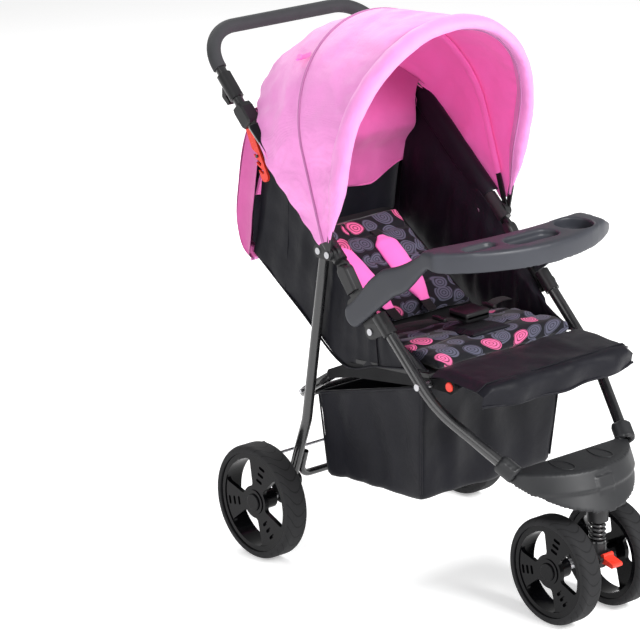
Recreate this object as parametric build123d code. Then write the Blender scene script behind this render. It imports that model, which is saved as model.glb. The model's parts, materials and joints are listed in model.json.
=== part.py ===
from build123d import *
import os
from math import atan2, cos, degrees, pi, radians, sin, tan

# Folding baby stroller with a U handle, sprung twin-wheel caster, reclining seat and a two-bow canopy.
# Millimetres, Z up, the child faces -Y, the child's left side is +X.
# A place in side view is a pair: distance forward of the rear axle, height above the floor.

# Wheels
REAR_WHEEL_D = 222.0
REAR_WHEEL_W = 46.0
REAR_OUTER_X = 282.0
FRONT_WHEEL_D = 202.0
FRONT_WHEEL_W = 45.0
FRONT_OUTER_X = 92.0
TYRE_H = 14.0
FRONT_AXLE_F = 606.0
CASTER_TRAIL = 36.0
REAR_AXLE_D = 12.0
FRONT_AXLE_D = 10.0

# Upper frame
FRAME_X = 206.0
TUBE_D = 22.0
TUBE_WALL = 1.5
SOCKET = (-95.0, 840.0)
TUBE_SLOPE = 40.0
HUB_REACH = 333.0
HANDLE_D = 20.0
HANDLE_SLOPE = 44.0
HANDLE_REACH = 190.0
HANDLE_CORNER_R = 82.0
GRIP_D = 27.0
GRIP_START = 105.0
SLEEVE_START = 36.0
SLEEVE_L = 54.0
SLEEVE_D = 28.0
REAR_PIVOT = (118.0, 622.0)
FOLD_PIVOT = (262.0, 500.0)

# Front legs, footrest and caster
LEG_D = 21.0
LEG_TOP = (283.0, 528.0)
LEG_BEND = (428.0, 394.0)
LEG_FOOT = (572.0, 292.0)
LEG_FOOT_X = 140.0
LEG_BEND_R = 260.0
FOOT_TOP_Z = 293.0
FOOT_BACK_F = 560.0
FOOT_FRONT_F = 646.0
FOOT_LIP_F = 680.0
FOOT_LIP_Z = 222.0
FOOT_HALF_W = 146.0
FOOT_LIP_HALF_W = 166.0
FOOT_WALL = 4.0
STEM_D = 20.0
STEM_TOP_Z = 250.0
HOUSING_D = 40.0
HOUSING_Z = 190.0
COLLAR_Z = 152.0
SPRING_D = 32.0
SPRING_WIRE = 4.6
SPRING_TURNS = 4
CASTER_TRAVEL = 12.0
FORK_HALF_W = 20.0

# Rear legs
REAR_LEG_D = 20.0
REAR_LEG_X = 196.0
REAR_LEG_BEND = (61.0, 275.0)
REAR_LEG_FOOT = (8.0, 126.0)
REAR_LEG_BEND_R = 70.0
AXLE_BRACKET_TOP = (13.0, 140.0)
CROSS_TUBE_D = 14.0
CROSS_TUBE_TOP = (34.0, 200.0)
CROSS_TUBE_LOW = (16.0, 146.0)
CROSS_TUBE_R = 26.0
BRAKE_ROD = (-30.0, 181.0)
BRAKE_ROD_D = 6.0

# Seat
SEAT_TUBE_D = 18.0
SEAT_TUBE_X = 168.0
SEAT_TUBE_REAR = (-6.0, 297.0)
SEAT_TUBE_END = (112.0, 373.9)
SEAT_TUBE_R = 45.0
SEAT_PLATE = (172.0, 398.0)
SEAT_PIN = (172.0, 391.0)
SEAT_FRONT = (392.0, 427.0)
LEGREST_PIVOT = (448.0, 436.0)
BAR_T = 4.0
BAR_TAIL = (112.0, 375.0)
REAR_LINK = (34.0, 322.0)
SEAT_BACK_F = 186.0
SEAT_FRONT_F = 388.0
BOARD_T = 8.0
PAD_T = 34.0
PAD_LAP = 16.0
PAD_CROWN = 9.0
PAD_ROUND = 8.0
BACK_PIVOT = (160.0, 412.0)
BACK_SLOPE = 32.5
BACK_L = 322.0
BACK_HALF_W = 170.0
BACK_PAD_T = 26.0
SHOULDER_PAD_SPAN = (70.0, 230.0)
SHOULDER_PAD_X = (34.0, 84.0)
SHOULDER_PAD_T = 10.0
CROTCH_PAD_L = 90.0
CROTCH_PAD_HALF_W = 50.0
CROTCH_PAD_T = 8.0
LEGREST_BACK_F = 412.0
LEGREST_STEP_F = (470.0, 486.0)
LEGREST_FRONT_F = 540.0
LEGREST_HALF_W = 186.0
LEGREST_TOP_Z = 463.0
LEGREST_T = 13.0
LEGREST_ARM_L = 30.0
LEGREST_CORNER_R = 24.0
BUTTON_D = 18.0

# Canopy
BOW_T = 3.0
BOW_DEPTH = 11.0
FRONT_BOW_ANGLE = 78.0
FRONT_BOW_REACH = 424.0
MID_BOW_ANGLE = 109.0
MID_BOW_REACH = 416.0
REAR_ARCH_ANGLE = 136.5
REAR_ARCH_REACH = 424.0
REAR_BULGE = 8.0
CLOTH_T = 2.0
BRIM_D = 34.0
BRIM_TIP_D = 14.0
BRIM_TAPER = (50.0, 112.0)

# Tray
TRAY_TOP_Z = 690.0
TRAY_DEPTH = 34.0
TRAY_HALF_W = 221.0
TRAY_FRONT_F = 528.0
TRAY_CORNER_F = 440.0
TRAY_BACK_F = 424.0
TRAY_WALL = 4.0
CUP_D = 72.0
CUP_DEPTH = 26.0
CUP_PLACE = (104.0, 464.0)
TRAY_ARM_W = 34.0
TRAY_SLOPE = 38.0
TRAY_SEAT = (222.0, 549.0)

# Basket
BASKET_T = 2.5
BASKET_TOP_X = 180.0
BASKET_BOTTOM_X = 164.0
BASKET_TOP = ((76.0, 328.0), (366.0, 413.3))
BASKET_LOW = ((84.0, 162.0), (346.0, 178.0))

# Cloth tub and rear flap
TUB_HEAD = (-74.0, 740.0)
TUB_SEAT = ((186.0, 424.0), (384.0, 448.0))
FLAP_HALF_W = 190.7
FLAP_LINE = ((-93.0, 850.0), (-125.0, 780.0), (-149.0, 658.0),
             (-150.0, 606.0), (-139.0, 571.0), (-110.0, 550.0))

# Fits
RIVET_D = 8.0
RIVET_HEAD_D = 13.0
RIVET_HEAD_T = 2.0
RUN_GAP = 0.08
SIDE_GAP = 0.5
SEAT_GAP = 0.3

# The middle of the length, which the frame's origin sits under
BAR_F = SOCKET[0] - HANDLE_REACH * cos(radians(HANDLE_SLOPE))
ORIGIN_F = (BAR_F - GRIP_D / 2 + FRONT_AXLE_F + FRONT_WHEEL_D / 2) / 2
STEM_F = FRONT_AXLE_F + CASTER_TRAIL


def ahead(place, angle, run, rise=0.0):
    """The side-view place reached from another one along an angle and then square to it."""
    c = cos(radians(angle))
    s = sin(radians(angle))
    return (place[0] + run * c - rise * s, place[1] + run * s + rise * c)


HUB = ahead(SOCKET, -TUBE_SLOPE, HUB_REACH)


def at(x, place):
    return Vector(x, ORIGIN_F - place[0], place[1])


def spot(place, radius):
    return Pos(ORIGIN_F - place[0], place[1]) * Circle(radius)


def outline(*places):
    return Polygon(*[(ORIGIN_F - f, z) for f, z in places], align=None)


def strap(*spots):
    """The outline drawn tight round some discs, each given as a place and a radius."""
    edges = [edge for place, radius in spots for edge in spot(place, radius).edges()]
    return make_hull(edges)


def slab(sketch, x0, x1):
    return extrude(Plane.YZ.offset(x0) * sketch, amount=x1 - x0, dir=(1, 0, 0))


def pin(place, diameter, x0, x1):
    return slab(spot(place, diameter / 2), x0, x1)


def rod(start, end, diameter):
    run = end - start
    plane = Plane(origin=start, z_dir=run)
    return plane * Cylinder(diameter / 2, run.length, align=(Align.CENTER, Align.CENTER, Align.MIN))


def pipe(start, end, diameter, wall):
    return rod(start, end, diameter) - rod(start, end, diameter - 2 * wall)


def bent(points, radius):
    """A path of straight runs whose corners are tangent arcs."""
    edges = []
    last = points[0]
    for before, corner, after in zip(points, points[1:], points[2:]):
        into = (corner - before).normalized()
        out = (after - corner).normalized()
        half_turn = radians(into.get_angle(out)) / 2
        start = corner - into * (radius * tan(half_turn))
        end = corner + out * (radius * tan(half_turn))
        middle = corner + (out - into).normalized() * (radius / cos(half_turn) - radius)
        edges += [Line(last, start), ThreePointArc(start, middle, end)]
        last = end
    edges.append(Line(last, points[-1]))
    return Wire(edges)


def along(path, diameter):
    return sweep(Plane(origin=path @ 0, z_dir=path % 0) * Circle(diameter / 2), path=path)


def bent_pipe(path, diameter, wall):
    return along(path, diameter) - along(path, diameter - 2 * wall)


def other(shape):
    return mirror(shape, about=Plane.YZ)


def save(name, *shapes):
    solids = [solid for shape in shapes for solid in shape.solids()]
    result = solids[0] if len(solids) == 1 else Compound(children=solids)
    export_step(result, f"parts/{name}.step")


def save_pair(name, shape):
    save(f"{name}_left", shape)
    save(f"{name}_right", other(shape))


def save_both(name, *shapes):
    save(name, *shapes, *[other(shape) for shape in shapes])


def handle():
    """Upper U tube with its foam grip, the lower tubes and the blocks that join them."""
    rise = 180 - HANDLE_SLOPE
    joint_gap = 4.0

    def loop(start):
        top = ahead(SOCKET, rise, HANDLE_REACH)
        foot = ahead(SOCKET, rise, start)
        points = [at(FRAME_X, foot), at(FRAME_X, top), at(-FRAME_X, top), at(-FRAME_X, foot)]
        return bent(points, HANDLE_CORNER_R)

    save("handle_bar", bent_pipe(loop(joint_gap), HANDLE_D, TUBE_WALL))
    save("handle_grip", along(loop(GRIP_START), GRIP_D) - along(loop(GRIP_START), HANDLE_D + 2 * RUN_GAP))

    tube_end = HUB_REACH + 16.0
    low = at(FRAME_X, ahead(SOCKET, -TUBE_SLOPE, tube_end))
    high = at(FRAME_X, ahead(SOCKET, -TUBE_SLOPE, joint_gap))
    tube = pipe(high, low, TUBE_D, TUBE_WALL)
    save_both("handle_tubes", tube)

    block_half = 15.0
    corners = [(-26, -11), (-20, -15), (10, -15), (20, -12), (20, 12), (10, 15), (-20, 15), (-26, 11)]
    profile = outline(*[ahead(SOCKET, rise, s, n) for s, n in corners])
    block = slab(profile, FRAME_X - block_half, FRAME_X + block_half)
    block = chamfer(block.faces().filter_by(Axis.X).edges(), 3.0)
    bar_core = rod(at(FRAME_X, SOCKET), at(FRAME_X, ahead(SOCKET, rise, 40)), HANDLE_D)
    tube_core = rod(at(FRAME_X, SOCKET), at(FRAME_X, ahead(SOCKET, -TUBE_SLOPE, 60)), TUBE_D)
    block = block - bar_core - tube_core
    save_both("handle_sockets", block)

    hook_line = ((30, 14), (22, 24), (6, 23))
    hook_root, hook_knee, hook_tip = [ahead(SOCKET, rise, SLEEVE_START + s, n) for s, n in hook_line]
    hook = strap((hook_root, 6), (hook_knee, 5)) + strap((hook_knee, 5), (hook_tip, 4))
    start = at(FRAME_X, ahead(SOCKET, rise, SLEEVE_START))
    end = at(FRAME_X, ahead(SOCKET, rise, SLEEVE_START + SLEEVE_L))
    sleeve = rod(start, end, SLEEVE_D) + slab(hook, FRAME_X - 6, FRAME_X + 6)
    sleeve -= rod(start, end, HANDLE_D + 2 * RUN_GAP)
    save_pair("lock_sleeve", sleeve)
    return block, rod(high, low, TUBE_D)


def recline_parts(block, tube_core):
    """Hooked racks under the handle blocks and the rod that lies in their top hooks."""
    rack_x = (FRAME_X - 8.0, FRAME_X - 3.0)
    rack_angle = -61.6
    rack_l = 111.0
    hook_step = 16.0
    first_hook = 70.0
    rod_d = 6.0
    slot_angle = 155.0
    base = ahead(SOCKET, -TUBE_SLOPE, 6, -15)
    profile = strap((base, 8), (ahead(base, rack_angle, rack_l), 10))
    seats = [ahead(base, rack_angle, first_hook + hook_step * i) for i in range(3)]
    for seat in seats:
        slot_r = rod_d / 2 + SEAT_GAP
        profile -= strap((seat, slot_r), (ahead(seat, slot_angle, 24), slot_r))
    rack = slab(profile, *rack_x) - block - tube_core
    save_both("recline_racks", rack.solids().sort_by(SortBy.VOLUME)[-1])
    save("recline_rod", pin(seats[0], rod_d, -FRAME_X, FRAME_X))
    return seats[0], rod_d


def hubs(tube_core):
    """Clamps at the tube ends with rear-leg lugs, armrest brackets down to the fold pivots, rivets."""
    clamp_d = 27.0
    lug = (FRAME_X + 1.5, FRAME_X + 7.0)
    boss_x = FRAME_X + 14.0
    clamp = rod(at(FRAME_X, ahead(SOCKET, -TUBE_SLOPE, HUB_REACH - 40)),
                at(FRAME_X, ahead(SOCKET, -TUBE_SLOPE, HUB_REACH + 18)), clamp_d)
    hub = clamp + slab(strap((HUB, 16), (REAR_PIVOT, 13)), *lug)
    hub += pin(HUB, 24.0, FRAME_X + 1.5, boss_x)
    hub -= tube_core
    save_pair("frame_hub", hub)

    plate_x = (FRAME_X - 6.5, FRAME_X + 0.5)
    angle = degrees(atan2(FOLD_PIVOT[1] - HUB[1], FOLD_PIVOT[0] - HUB[0]))
    bracket = slab(strap((ahead(HUB, angle, 30), 16), (FOLD_PIVOT, 15)), *plate_x)
    arm_ends = strap((ahead(HUB, angle, 40, 2), 15), (ahead(HUB, angle, 84, 2), 14))
    arm = slab(arm_ends, FRAME_X - 12, FRAME_X + 10)
    arm = fillet(arm.faces().filter_by(Axis.X).edges(), 5.0)
    tongue = strap((ahead(TRAY_SEAT, TRAY_SLOPE, -16), 11), (ahead(TRAY_SEAT, TRAY_SLOPE, 26), 11))
    bracket += arm
    tray_room = strap((ahead(TRAY_SEAT, TRAY_SLOPE, -60), 18), (ahead(TRAY_SEAT, TRAY_SLOPE, 80), 18))
    bracket -= slab(tray_room, plate_x[1], FRAME_X + 20)
    bracket += slab(tongue, plate_x[1] - 2, FRAME_X + 6)
    bracket -= clamp
    bracket -= pin(FOLD_PIVOT, RIVET_D + 2 * RUN_GAP, FRAME_X - 20, FRAME_X + 20)
    save_both("armrest_brackets", bracket)

    leg_inside = REAR_LEG_X - REAR_LEG_D / 2
    leg_rivet = pin(REAR_PIVOT, RIVET_D, leg_inside - SEAT_GAP, lug[0])
    leg_rivet += pin(REAR_PIVOT, RIVET_HEAD_D, leg_inside - 1.5, leg_inside - SEAT_GAP)
    leg_rivet += pin(REAR_PIVOT, RIVET_HEAD_D, lug[1], lug[1] + RIVET_HEAD_T)
    pin_end = boss_x + 2 * BOW_T + 3 * SIDE_GAP
    canopy_pin = pin(HUB, RIVET_D, boss_x, pin_end) + pin(HUB, RIVET_HEAD_D, pin_end, pin_end + 1.5)
    save_both("frame_rivets", leg_rivet, canopy_pin)
    return plate_x, boss_x, tongue


def tray(plate_x, tongue):
    """Play tray: two curved arms that slide on the bracket tongues, a hollow bar with three recesses."""
    arm_x = (plate_x[1] + SEAT_GAP, FRAME_X + 15.0)
    half = TRAY_ARM_W / 2
    low = ahead(TRAY_SEAT, TRAY_SLOPE, -22)
    middle = ahead(TRAY_SEAT, TRAY_SLOPE, 110)
    front = (TRAY_CORNER_F - 22, TRAY_TOP_Z - half - 2)
    arm = slab(strap((low, half), (middle, half - 1)) + strap((middle, half - 1), (front, half - 1)), *arm_x)
    arm = fillet(arm.faces().sort_by(Axis.X)[-1].edges(), 4.0)
    clear = offset(tongue, SEAT_GAP) + strap((ahead(TRAY_SEAT, TRAY_SLOPE, -16), 11 + SEAT_GAP),
                                             (ahead(TRAY_SEAT, TRAY_SLOPE, -90), 11 + SEAT_GAP))
    arm -= slab(clear, arm_x[0] - 1, FRAME_X + 6 + SEAT_GAP)

    def plan(inset):
        w = TRAY_HALF_W - inset
        y_corner = ORIGIN_F - TRAY_CORNER_F
        y_front = ORIGIN_F - TRAY_FRONT_F + inset
        y_end = ORIGIN_F - TRAY_CORNER_F + 34 - inset
        y_back = ORIGIN_F - TRAY_BACK_F - inset
        inner = TRAY_HALF_W - 34 + inset
        edges = [Line((w, y_end), (w, y_corner)),
                 ThreePointArc((w, y_corner), (0, y_front), (-w, y_corner)),
                 Line((-w, y_corner), (-w, y_end)), Line((-w, y_end), (-inner, y_end)),
                 ThreePointArc((-inner, y_end), (0, y_back), (inner, y_end)),
                 Line((inner, y_end), (w, y_end))]
        return make_face(edges)

    floor_z = TRAY_TOP_Z - TRAY_DEPTH
    bar = extrude(Plane.XY.offset(floor_z) * plan(0), amount=TRAY_DEPTH)
    bar = fillet(bar.faces().sort_by(Axis.Z)[-1].edges(), 6.0)
    cup = Pos(CUP_PLACE[0], ORIGIN_F - CUP_PLACE[1])
    long_well = Pos(-14, ORIGIN_F - TRAY_FRONT_F + 52) * SlotOverall(118, 44)
    small_well = Pos(-128, ORIGIN_F - TRAY_FRONT_F + 66) * SlotOverall(74, 26)
    wells = [(cup * Circle(CUP_D / 2), cup * Circle(CUP_D / 2 + 3), CUP_DEPTH),
             (long_well, offset(long_well, 3), 14.0), (small_well, offset(small_well, 3), 9.0)]
    hollow = extrude(Plane.XY.offset(floor_z) * plan(TRAY_WALL), amount=TRAY_DEPTH - TRAY_WALL)
    for mouth, skin, depth in wells:
        hollow -= extrude(Plane.XY.offset(TRAY_TOP_Z - depth - 3) * skin, amount=depth + 3)
    bar -= hollow
    for mouth, skin, depth in wells:
        bar -= extrude(Plane.XY.offset(TRAY_TOP_Z - depth) * mouth, amount=depth)
    arm -= extrude(Plane.XY.offset(floor_z - 1) * plan(TRAY_WALL), amount=TRAY_DEPTH - TRAY_WALL + 1)
    save("tray", bar + arm + other(arm))


def front_legs(plate_x):
    """Front leg tubes, their blocks on the fold pivots, their rivets and the moulded footrest."""
    top = at(FRAME_X - 2, LEG_TOP)
    bend = at(FRAME_X - 3, LEG_BEND)
    foot = at(LEG_FOOT_X, LEG_FOOT)
    path = bent([top, bend, foot], LEG_BEND_R)
    leg = bent_pipe(path, LEG_D, TUBE_WALL)
    core = along(path, LEG_D)
    leg -= pin(SEAT_FRONT, RIVET_D, FRAME_X - 30, FRAME_X + 30)
    save_pair("front_leg", leg)

    run = (bend - top).normalized()
    sleeve = rod(top - run * 8, top + run * 36, LEG_D + 7)
    tab = (plate_x[1] + SIDE_GAP, plate_x[1] + 6.0)
    block = sleeve + slab(strap((FOLD_PIVOT, 14), (ahead(LEG_TOP, -43, 18), 13)), *tab)
    block -= core
    block -= pin(FOLD_PIVOT, RIVET_D, 0, FRAME_X + 30)
    save_both("front_leg_blocks", block)

    plate_in = plate_x[0] - SIDE_GAP
    fold_rivet = pin(FOLD_PIVOT, RIVET_D, plate_in, tab[1])
    fold_rivet += pin(FOLD_PIVOT, RIVET_HEAD_D, tab[1], tab[1] + RIVET_HEAD_T)
    fold_rivet += pin(FOLD_PIVOT, RIVET_HEAD_D, plate_in - RIVET_HEAD_T, plate_in)
    bar_in = SEAT_TUBE_X + SEAT_TUBE_D / 2
    leg_x = FRAME_X - 2.8
    leg_out = leg_x + LEG_D / 2 + SEAT_GAP
    seat_rivet = pin(SEAT_FRONT, RIVET_D, bar_in - SIDE_GAP, leg_out)
    seat_rivet += pin(SEAT_FRONT, RIVET_HEAD_D, bar_in - SIDE_GAP - RIVET_HEAD_T, bar_in - SIDE_GAP)
    seat_rivet += pin(SEAT_FRONT, RIVET_HEAD_D, leg_out, leg_out + RIVET_HEAD_T)
    spacer = pin(SEAT_FRONT, RIVET_HEAD_D, bar_in + BAR_T + SIDE_GAP, leg_x)
    seat_rivet += spacer - core
    save_both("front_leg_rivets", fold_rivet, seat_rivet)

    def half_moon(z, back, front, half):
        y_back = ORIGIN_F - back
        arc = ThreePointArc((half, y_back), (0, ORIGIN_F - front), (-half, y_back))
        return Plane.XY.offset(z) * make_face([arc, Line((-half, y_back), (half, y_back))])

    def wedge(inset):
        back = FOOT_BACK_F + inset
        upper = half_moon(FOOT_TOP_Z - inset, back, FOOT_FRONT_F - inset, FOOT_HALF_W - inset)
        lower = half_moon(FOOT_LIP_Z - 10, back, FOOT_LIP_F + 4 - inset, FOOT_LIP_HALF_W - inset)
        return loft([lower, upper])

    under = slab(outline((FOOT_BACK_F - 10, FOOT_TOP_Z - 6), (FOOT_LIP_F + 20, FOOT_LIP_Z - 14),
                         (FOOT_LIP_F + 20, 0), (FOOT_BACK_F - 10, 0)), -300, 300)
    rib_half = HOUSING_D / 2 + 5
    pockets = wedge(FOOT_WALL) - Box(2 * rib_half, 2000, 2000)
    plate = wedge(0) - under - pockets
    boss = rod(foot - (foot - bend).normalized() * 34, foot, LEG_D + 8)
    plate = plate + boss + other(boss)
    plate -= core + other(core)
    stem = (STEM_F, HOUSING_Z)
    housing_top = STEM_TOP_Z + CASTER_TRAVEL + 6
    plate -= rod(at(0, stem), at(0, (STEM_F, housing_top)), HOUSING_D)
    save("footrest", plate)

    housing = rod(at(0, stem), at(0, (STEM_F, housing_top)), HOUSING_D)
    housing -= rod(at(0, stem), at(0, (STEM_F, housing_top - 3)), STEM_D + 2 * RUN_GAP)
    save("caster_housing", housing)


def coil(z0, z1):
    """Compression spring round the caster stem, quarter-turn arcs on a helix."""
    mean_r = (SPRING_D - SPRING_WIRE) / 2
    quarters = 4 * SPRING_TURNS
    rise = (z1 - z0 - SPRING_WIRE) / quarters

    def on_helix(quarter):
        turn = quarter * pi / 2
        return at(mean_r * cos(turn), (STEM_F + mean_r * sin(turn), z0 + SPRING_WIRE / 2 + rise * quarter))

    arcs = [ThreePointArc(on_helix(i), on_helix(i + 0.5), on_helix(i + 1)) for i in range(quarters)]
    steps = 6
    points = [arc @ (step / steps) for arc in arcs for step in range(steps)]
    half_turn = 2 * steps
    spans = [(b - a).length for i, a in enumerate(points) for b in points[i + half_turn:]]
    print("caster spring: least gap between turns", round(min(spans) - SPRING_WIRE, 2))
    return along(Wire(arcs), SPRING_WIRE)


def caster():
    """Sliding stem with its spring, swivelling fork, axle and the swivel lock lever."""
    stem_foot = 116.0
    stem = rod(at(0, (STEM_F, stem_foot)), at(0, (STEM_F, STEM_TOP_Z)), STEM_D)
    stem += rod(at(0, (STEM_F, COLLAR_Z - 4)), at(0, (STEM_F, COLLAR_Z)), SPRING_D)
    save("caster_stem", stem)
    save("caster_spring", coil(COLLAR_Z + SEAT_GAP, HOUSING_Z - SEAT_GAP))

    axle = (FRONT_AXLE_F, FRONT_WHEEL_D / 2)
    barrel_top = COLLAR_Z - 4 - SEAT_GAP
    fork = rod(at(0, (STEM_F, stem_foot - 14)), at(0, (STEM_F, barrel_top)), STEM_D + 14)
    arm = slab(strap(((STEM_F - 2, stem_foot + 4), 14), (axle, 14)), -FORK_HALF_W, FORK_HALF_W)
    fork += arm
    lever_pin = (STEM_F + 24, stem_foot + 6)
    lever_half = 12.0
    ears = slab(strap((lever_pin, 6), ((STEM_F + 4, stem_foot + 6), 9)), -FORK_HALF_W, FORK_HALF_W)
    lever_room = strap((lever_pin, 13), ((STEM_F + 60, stem_foot + 6), 13))
    ears -= slab(lever_room, -lever_half - SIDE_GAP, lever_half + SIDE_GAP)
    fork += ears
    fork += pin(lever_pin, 5, -FORK_HALF_W, FORK_HALF_W)
    fork -= rod(at(0, (STEM_F, stem_foot - 1)), at(0, (STEM_F, barrel_top)), STEM_D + 2 * RUN_GAP)
    fork -= pin(axle, FRONT_AXLE_D, -FORK_HALF_W, FORK_HALF_W)
    save("caster_fork", fork)

    paddle = strap((lever_pin, 6), (ahead(lever_pin, -12, 26), 4.5))
    paddle += strap((lever_pin, 6), (ahead(lever_pin, 70, 8), 4))
    lever = slab(paddle, -lever_half, lever_half) - pin(lever_pin, 5 + 2 * RUN_GAP, -20, 20)
    save("swivel_lock_lever", lever)

    inner = FRONT_OUTER_X - FRONT_WHEEL_W
    shaft = pin(axle, FRONT_AXLE_D, -FRONT_OUTER_X + 6, FRONT_OUTER_X - 6)
    for side in (-1, 1):
        ends = sorted((side * FORK_HALF_W, side * (inner - SIDE_GAP)))
        shaft += pin(axle, 18, *ends)
    save("front_axle", shaft)


def wheel(diameter, width, bore):
    """Three-spoke rim with slotted spokes and hub cap, and its tyre, round Z, outer face on top."""
    rim_r = diameter / 2 - TYRE_H
    lip = 11.0
    hub_r = 24.0
    face_top = width - 5.0
    face_t = 9.0
    tyre = Cylinder(diameter / 2, width) - Cylinder(rim_r, width)
    tyre = fillet(tyre.edges().filter_by(GeomType.CIRCLE).group_by(SortBy.RADIUS)[-1], 9.0)
    tyre = Pos(0, 0, width / 2) * tyre
    low = (Align.CENTER, Align.CENTER, Align.MIN)
    rim = Cylinder(rim_r, width - 6, align=low) - Cylinder(rim_r - lip, width - 6, align=low)
    rim = Pos(0, 0, 3) * rim
    rim += Pos(0, 0, face_top - face_t) * Cylinder(rim_r - 1, face_t, align=low)
    rim += Cylinder(hub_r - 5, face_top - face_t, align=low)
    rim += Pos(0, 0, face_top - face_t) * Cylinder(hub_r, face_t + 2, align=low)
    half = radians(33.0)
    outer_r = rim_r - lip
    inner_r = hub_r + 8.0

    def polar(r, a):
        return (r * cos(a), r * sin(a))

    window = make_face([
        Line(polar(inner_r, -half), polar(outer_r, -half)),
        ThreePointArc(polar(outer_r, -half), (outer_r, 0), polar(outer_r, half)),
        Line(polar(outer_r, half), polar(inner_r, half)),
        ThreePointArc(polar(inner_r, half), (inner_r, 0), polar(inner_r, -half))])
    window = fillet(window.vertices(), 7.0)
    spoke_l = outer_r - inner_r
    for i in range(3):
        rim -= Rot(0, 0, 120 * i) * extrude(window, amount=width)
        for step in range(3):
            slot = Pos(inner_r + spoke_l * (0.28 + 0.26 * step), 0) * SlotOverall(17, 6, rotation=90)
            rim -= Rot(0, 0, 120 * i + 60) * extrude(Plane.XY.offset(face_top - 4) * slot, amount=10)
    rim -= Cylinder(bore / 2, face_top - 1, align=low)
    cap = Pos(0, 0, face_top + 2) * Cylinder(17, 3, align=low)
    cap = fillet(cap.edges().sort_by(Axis.Z)[-1], 2.0)
    return rim + cap, tyre


def wheels():
    turn = Rot(0, 90, 0)
    for name, diameter, width, outer, place_f, axle_d in (
            ("rear", REAR_WHEEL_D, REAR_WHEEL_W, REAR_OUTER_X, 0.0, REAR_AXLE_D),
            ("front", FRONT_WHEEL_D, FRONT_WHEEL_W, FRONT_OUTER_X, FRONT_AXLE_F, FRONT_AXLE_D)):
        rim, tyre = wheel(diameter, width, axle_d + 2 * RUN_GAP)
        spin = Rot(18, 0, 0) * turn
        place = Pos(outer - width, ORIGIN_F - place_f, diameter / 2)
        save_pair(f"{name}_wheel_rim", place * spin * rim)
        save_pair(f"{name}_wheel_tyre", place * spin * tyre)


def rear_legs():
    """Rear leg tubes with axle brackets, stub axles, the low cross tube and the linked brake."""
    axle = (0.0, REAR_WHEEL_D / 2)
    lean = degrees(atan2(REAR_PIVOT[1] - REAR_LEG_BEND[1], REAR_PIVOT[0] - REAR_LEG_BEND[0]))
    top = ahead(REAR_PIVOT, lean, 8)
    points = [at(REAR_LEG_X, place) for place in (top, REAR_LEG_BEND, REAR_LEG_FOOT)]
    path = bent(points, REAR_LEG_BEND_R)
    core = along(path, REAR_LEG_D)
    leg = bent_pipe(path, REAR_LEG_D, TUBE_WALL)
    leg -= pin(REAR_PIVOT, RIVET_D + 2 * RUN_GAP, REAR_LEG_X - 20, REAR_LEG_X + 20)
    save_pair("rear_leg", leg)

    bracket_x = (REAR_LEG_X - 14, REAR_LEG_X + 18)
    bracket_body = slab(strap((AXLE_BRACKET_TOP, 15), (axle, 17)), *bracket_x)
    bracket = bracket_body - core - pin(axle, REAR_AXLE_D, *bracket_x)
    save_both("rear_axle_brackets", bracket)

    stub = pin(axle, REAR_AXLE_D, bracket_x[0], REAR_OUTER_X - 7)
    leg_in = REAR_LEG_X - REAR_LEG_D / 2
    link = pin(REAR_LINK, RIVET_D, SEAT_TUBE_X + SEAT_TUBE_D / 2 + SIDE_GAP, leg_in + 4)
    save_both("rear_axles", stub, link - core)

    tube_x = leg_in - SEAT_GAP - CROSS_TUBE_D / 2
    high = at(tube_x, CROSS_TUBE_TOP)
    low = at(tube_x, CROSS_TUBE_LOW)
    far = [Vector(-p.X, p.Y, p.Z) for p in (low, high)]
    cross = bent_pipe(bent([high, low, *far], CROSS_TUBE_R), CROSS_TUBE_D, TUBE_WALL)
    save("rear_cross_tube", cross - bracket_body - other(bracket_body))

    lever_x = (bracket_x[1] + SIDE_GAP, bracket_x[1] + 6.0)
    lever = slab(strap((axle, 12), (BRAKE_ROD, 8)), *lever_x)
    pedal_tip = (BRAKE_ROD[0] - 34, BRAKE_ROD[1] + 12)
    pedal = slab(strap((BRAKE_ROD, 7), (pedal_tip, 5)), lever_x[0] - 16, lever_x[1] + 8)
    lever = lever + pedal - pin(axle, REAR_AXLE_D + 2 * RUN_GAP, *lever_x)
    lever -= pin(BRAKE_ROD, BRAKE_ROD_D, 0, 300)
    save_both("brake_pedals", lever)
    save("brake_rod", pin(BRAKE_ROD, BRAKE_ROD_D, -lever_x[1], lever_x[1]))


def layer(place, angle, span, depth):
    """A flat layer in side view: its span along an angle and its depth square to it."""
    corners = [(span[0], depth[0]), (span[1], depth[0]), (span[1], depth[1]), (span[0], depth[1])]
    return outline(*[ahead(place, angle, s, n) for s, n in corners])


def cushion(place, angle, span, seat_n, thickness, half):
    """A stuffed pad on a board: crowned face, rounded rim."""
    side = 1 if thickness > 0 else -1
    rim_n = seat_n + thickness - side * PAD_CROWN
    spots = [(span[0], seat_n), (span[1], seat_n), (span[1], rim_n),
             ((span[0] + span[1]) / 2, seat_n + thickness), (span[0], rim_n)]
    places = [ahead(place, angle, s, n) for s, n in spots]
    a, b, c, top, d = [(ORIGIN_F - f, z) for f, z in places]
    face = make_face([Line(a, b), Line(b, c), ThreePointArc(c, top, d), Line(d, a)])
    pad = slab(face, -half, half)
    rounding = min(PAD_ROUND, abs(rim_n - seat_n) / 2 - SEAT_GAP)
    return fillet(pad.faces().filter_by(Axis.X).edges() + pad.edges().filter_by(Axis.X), rounding)


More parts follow.
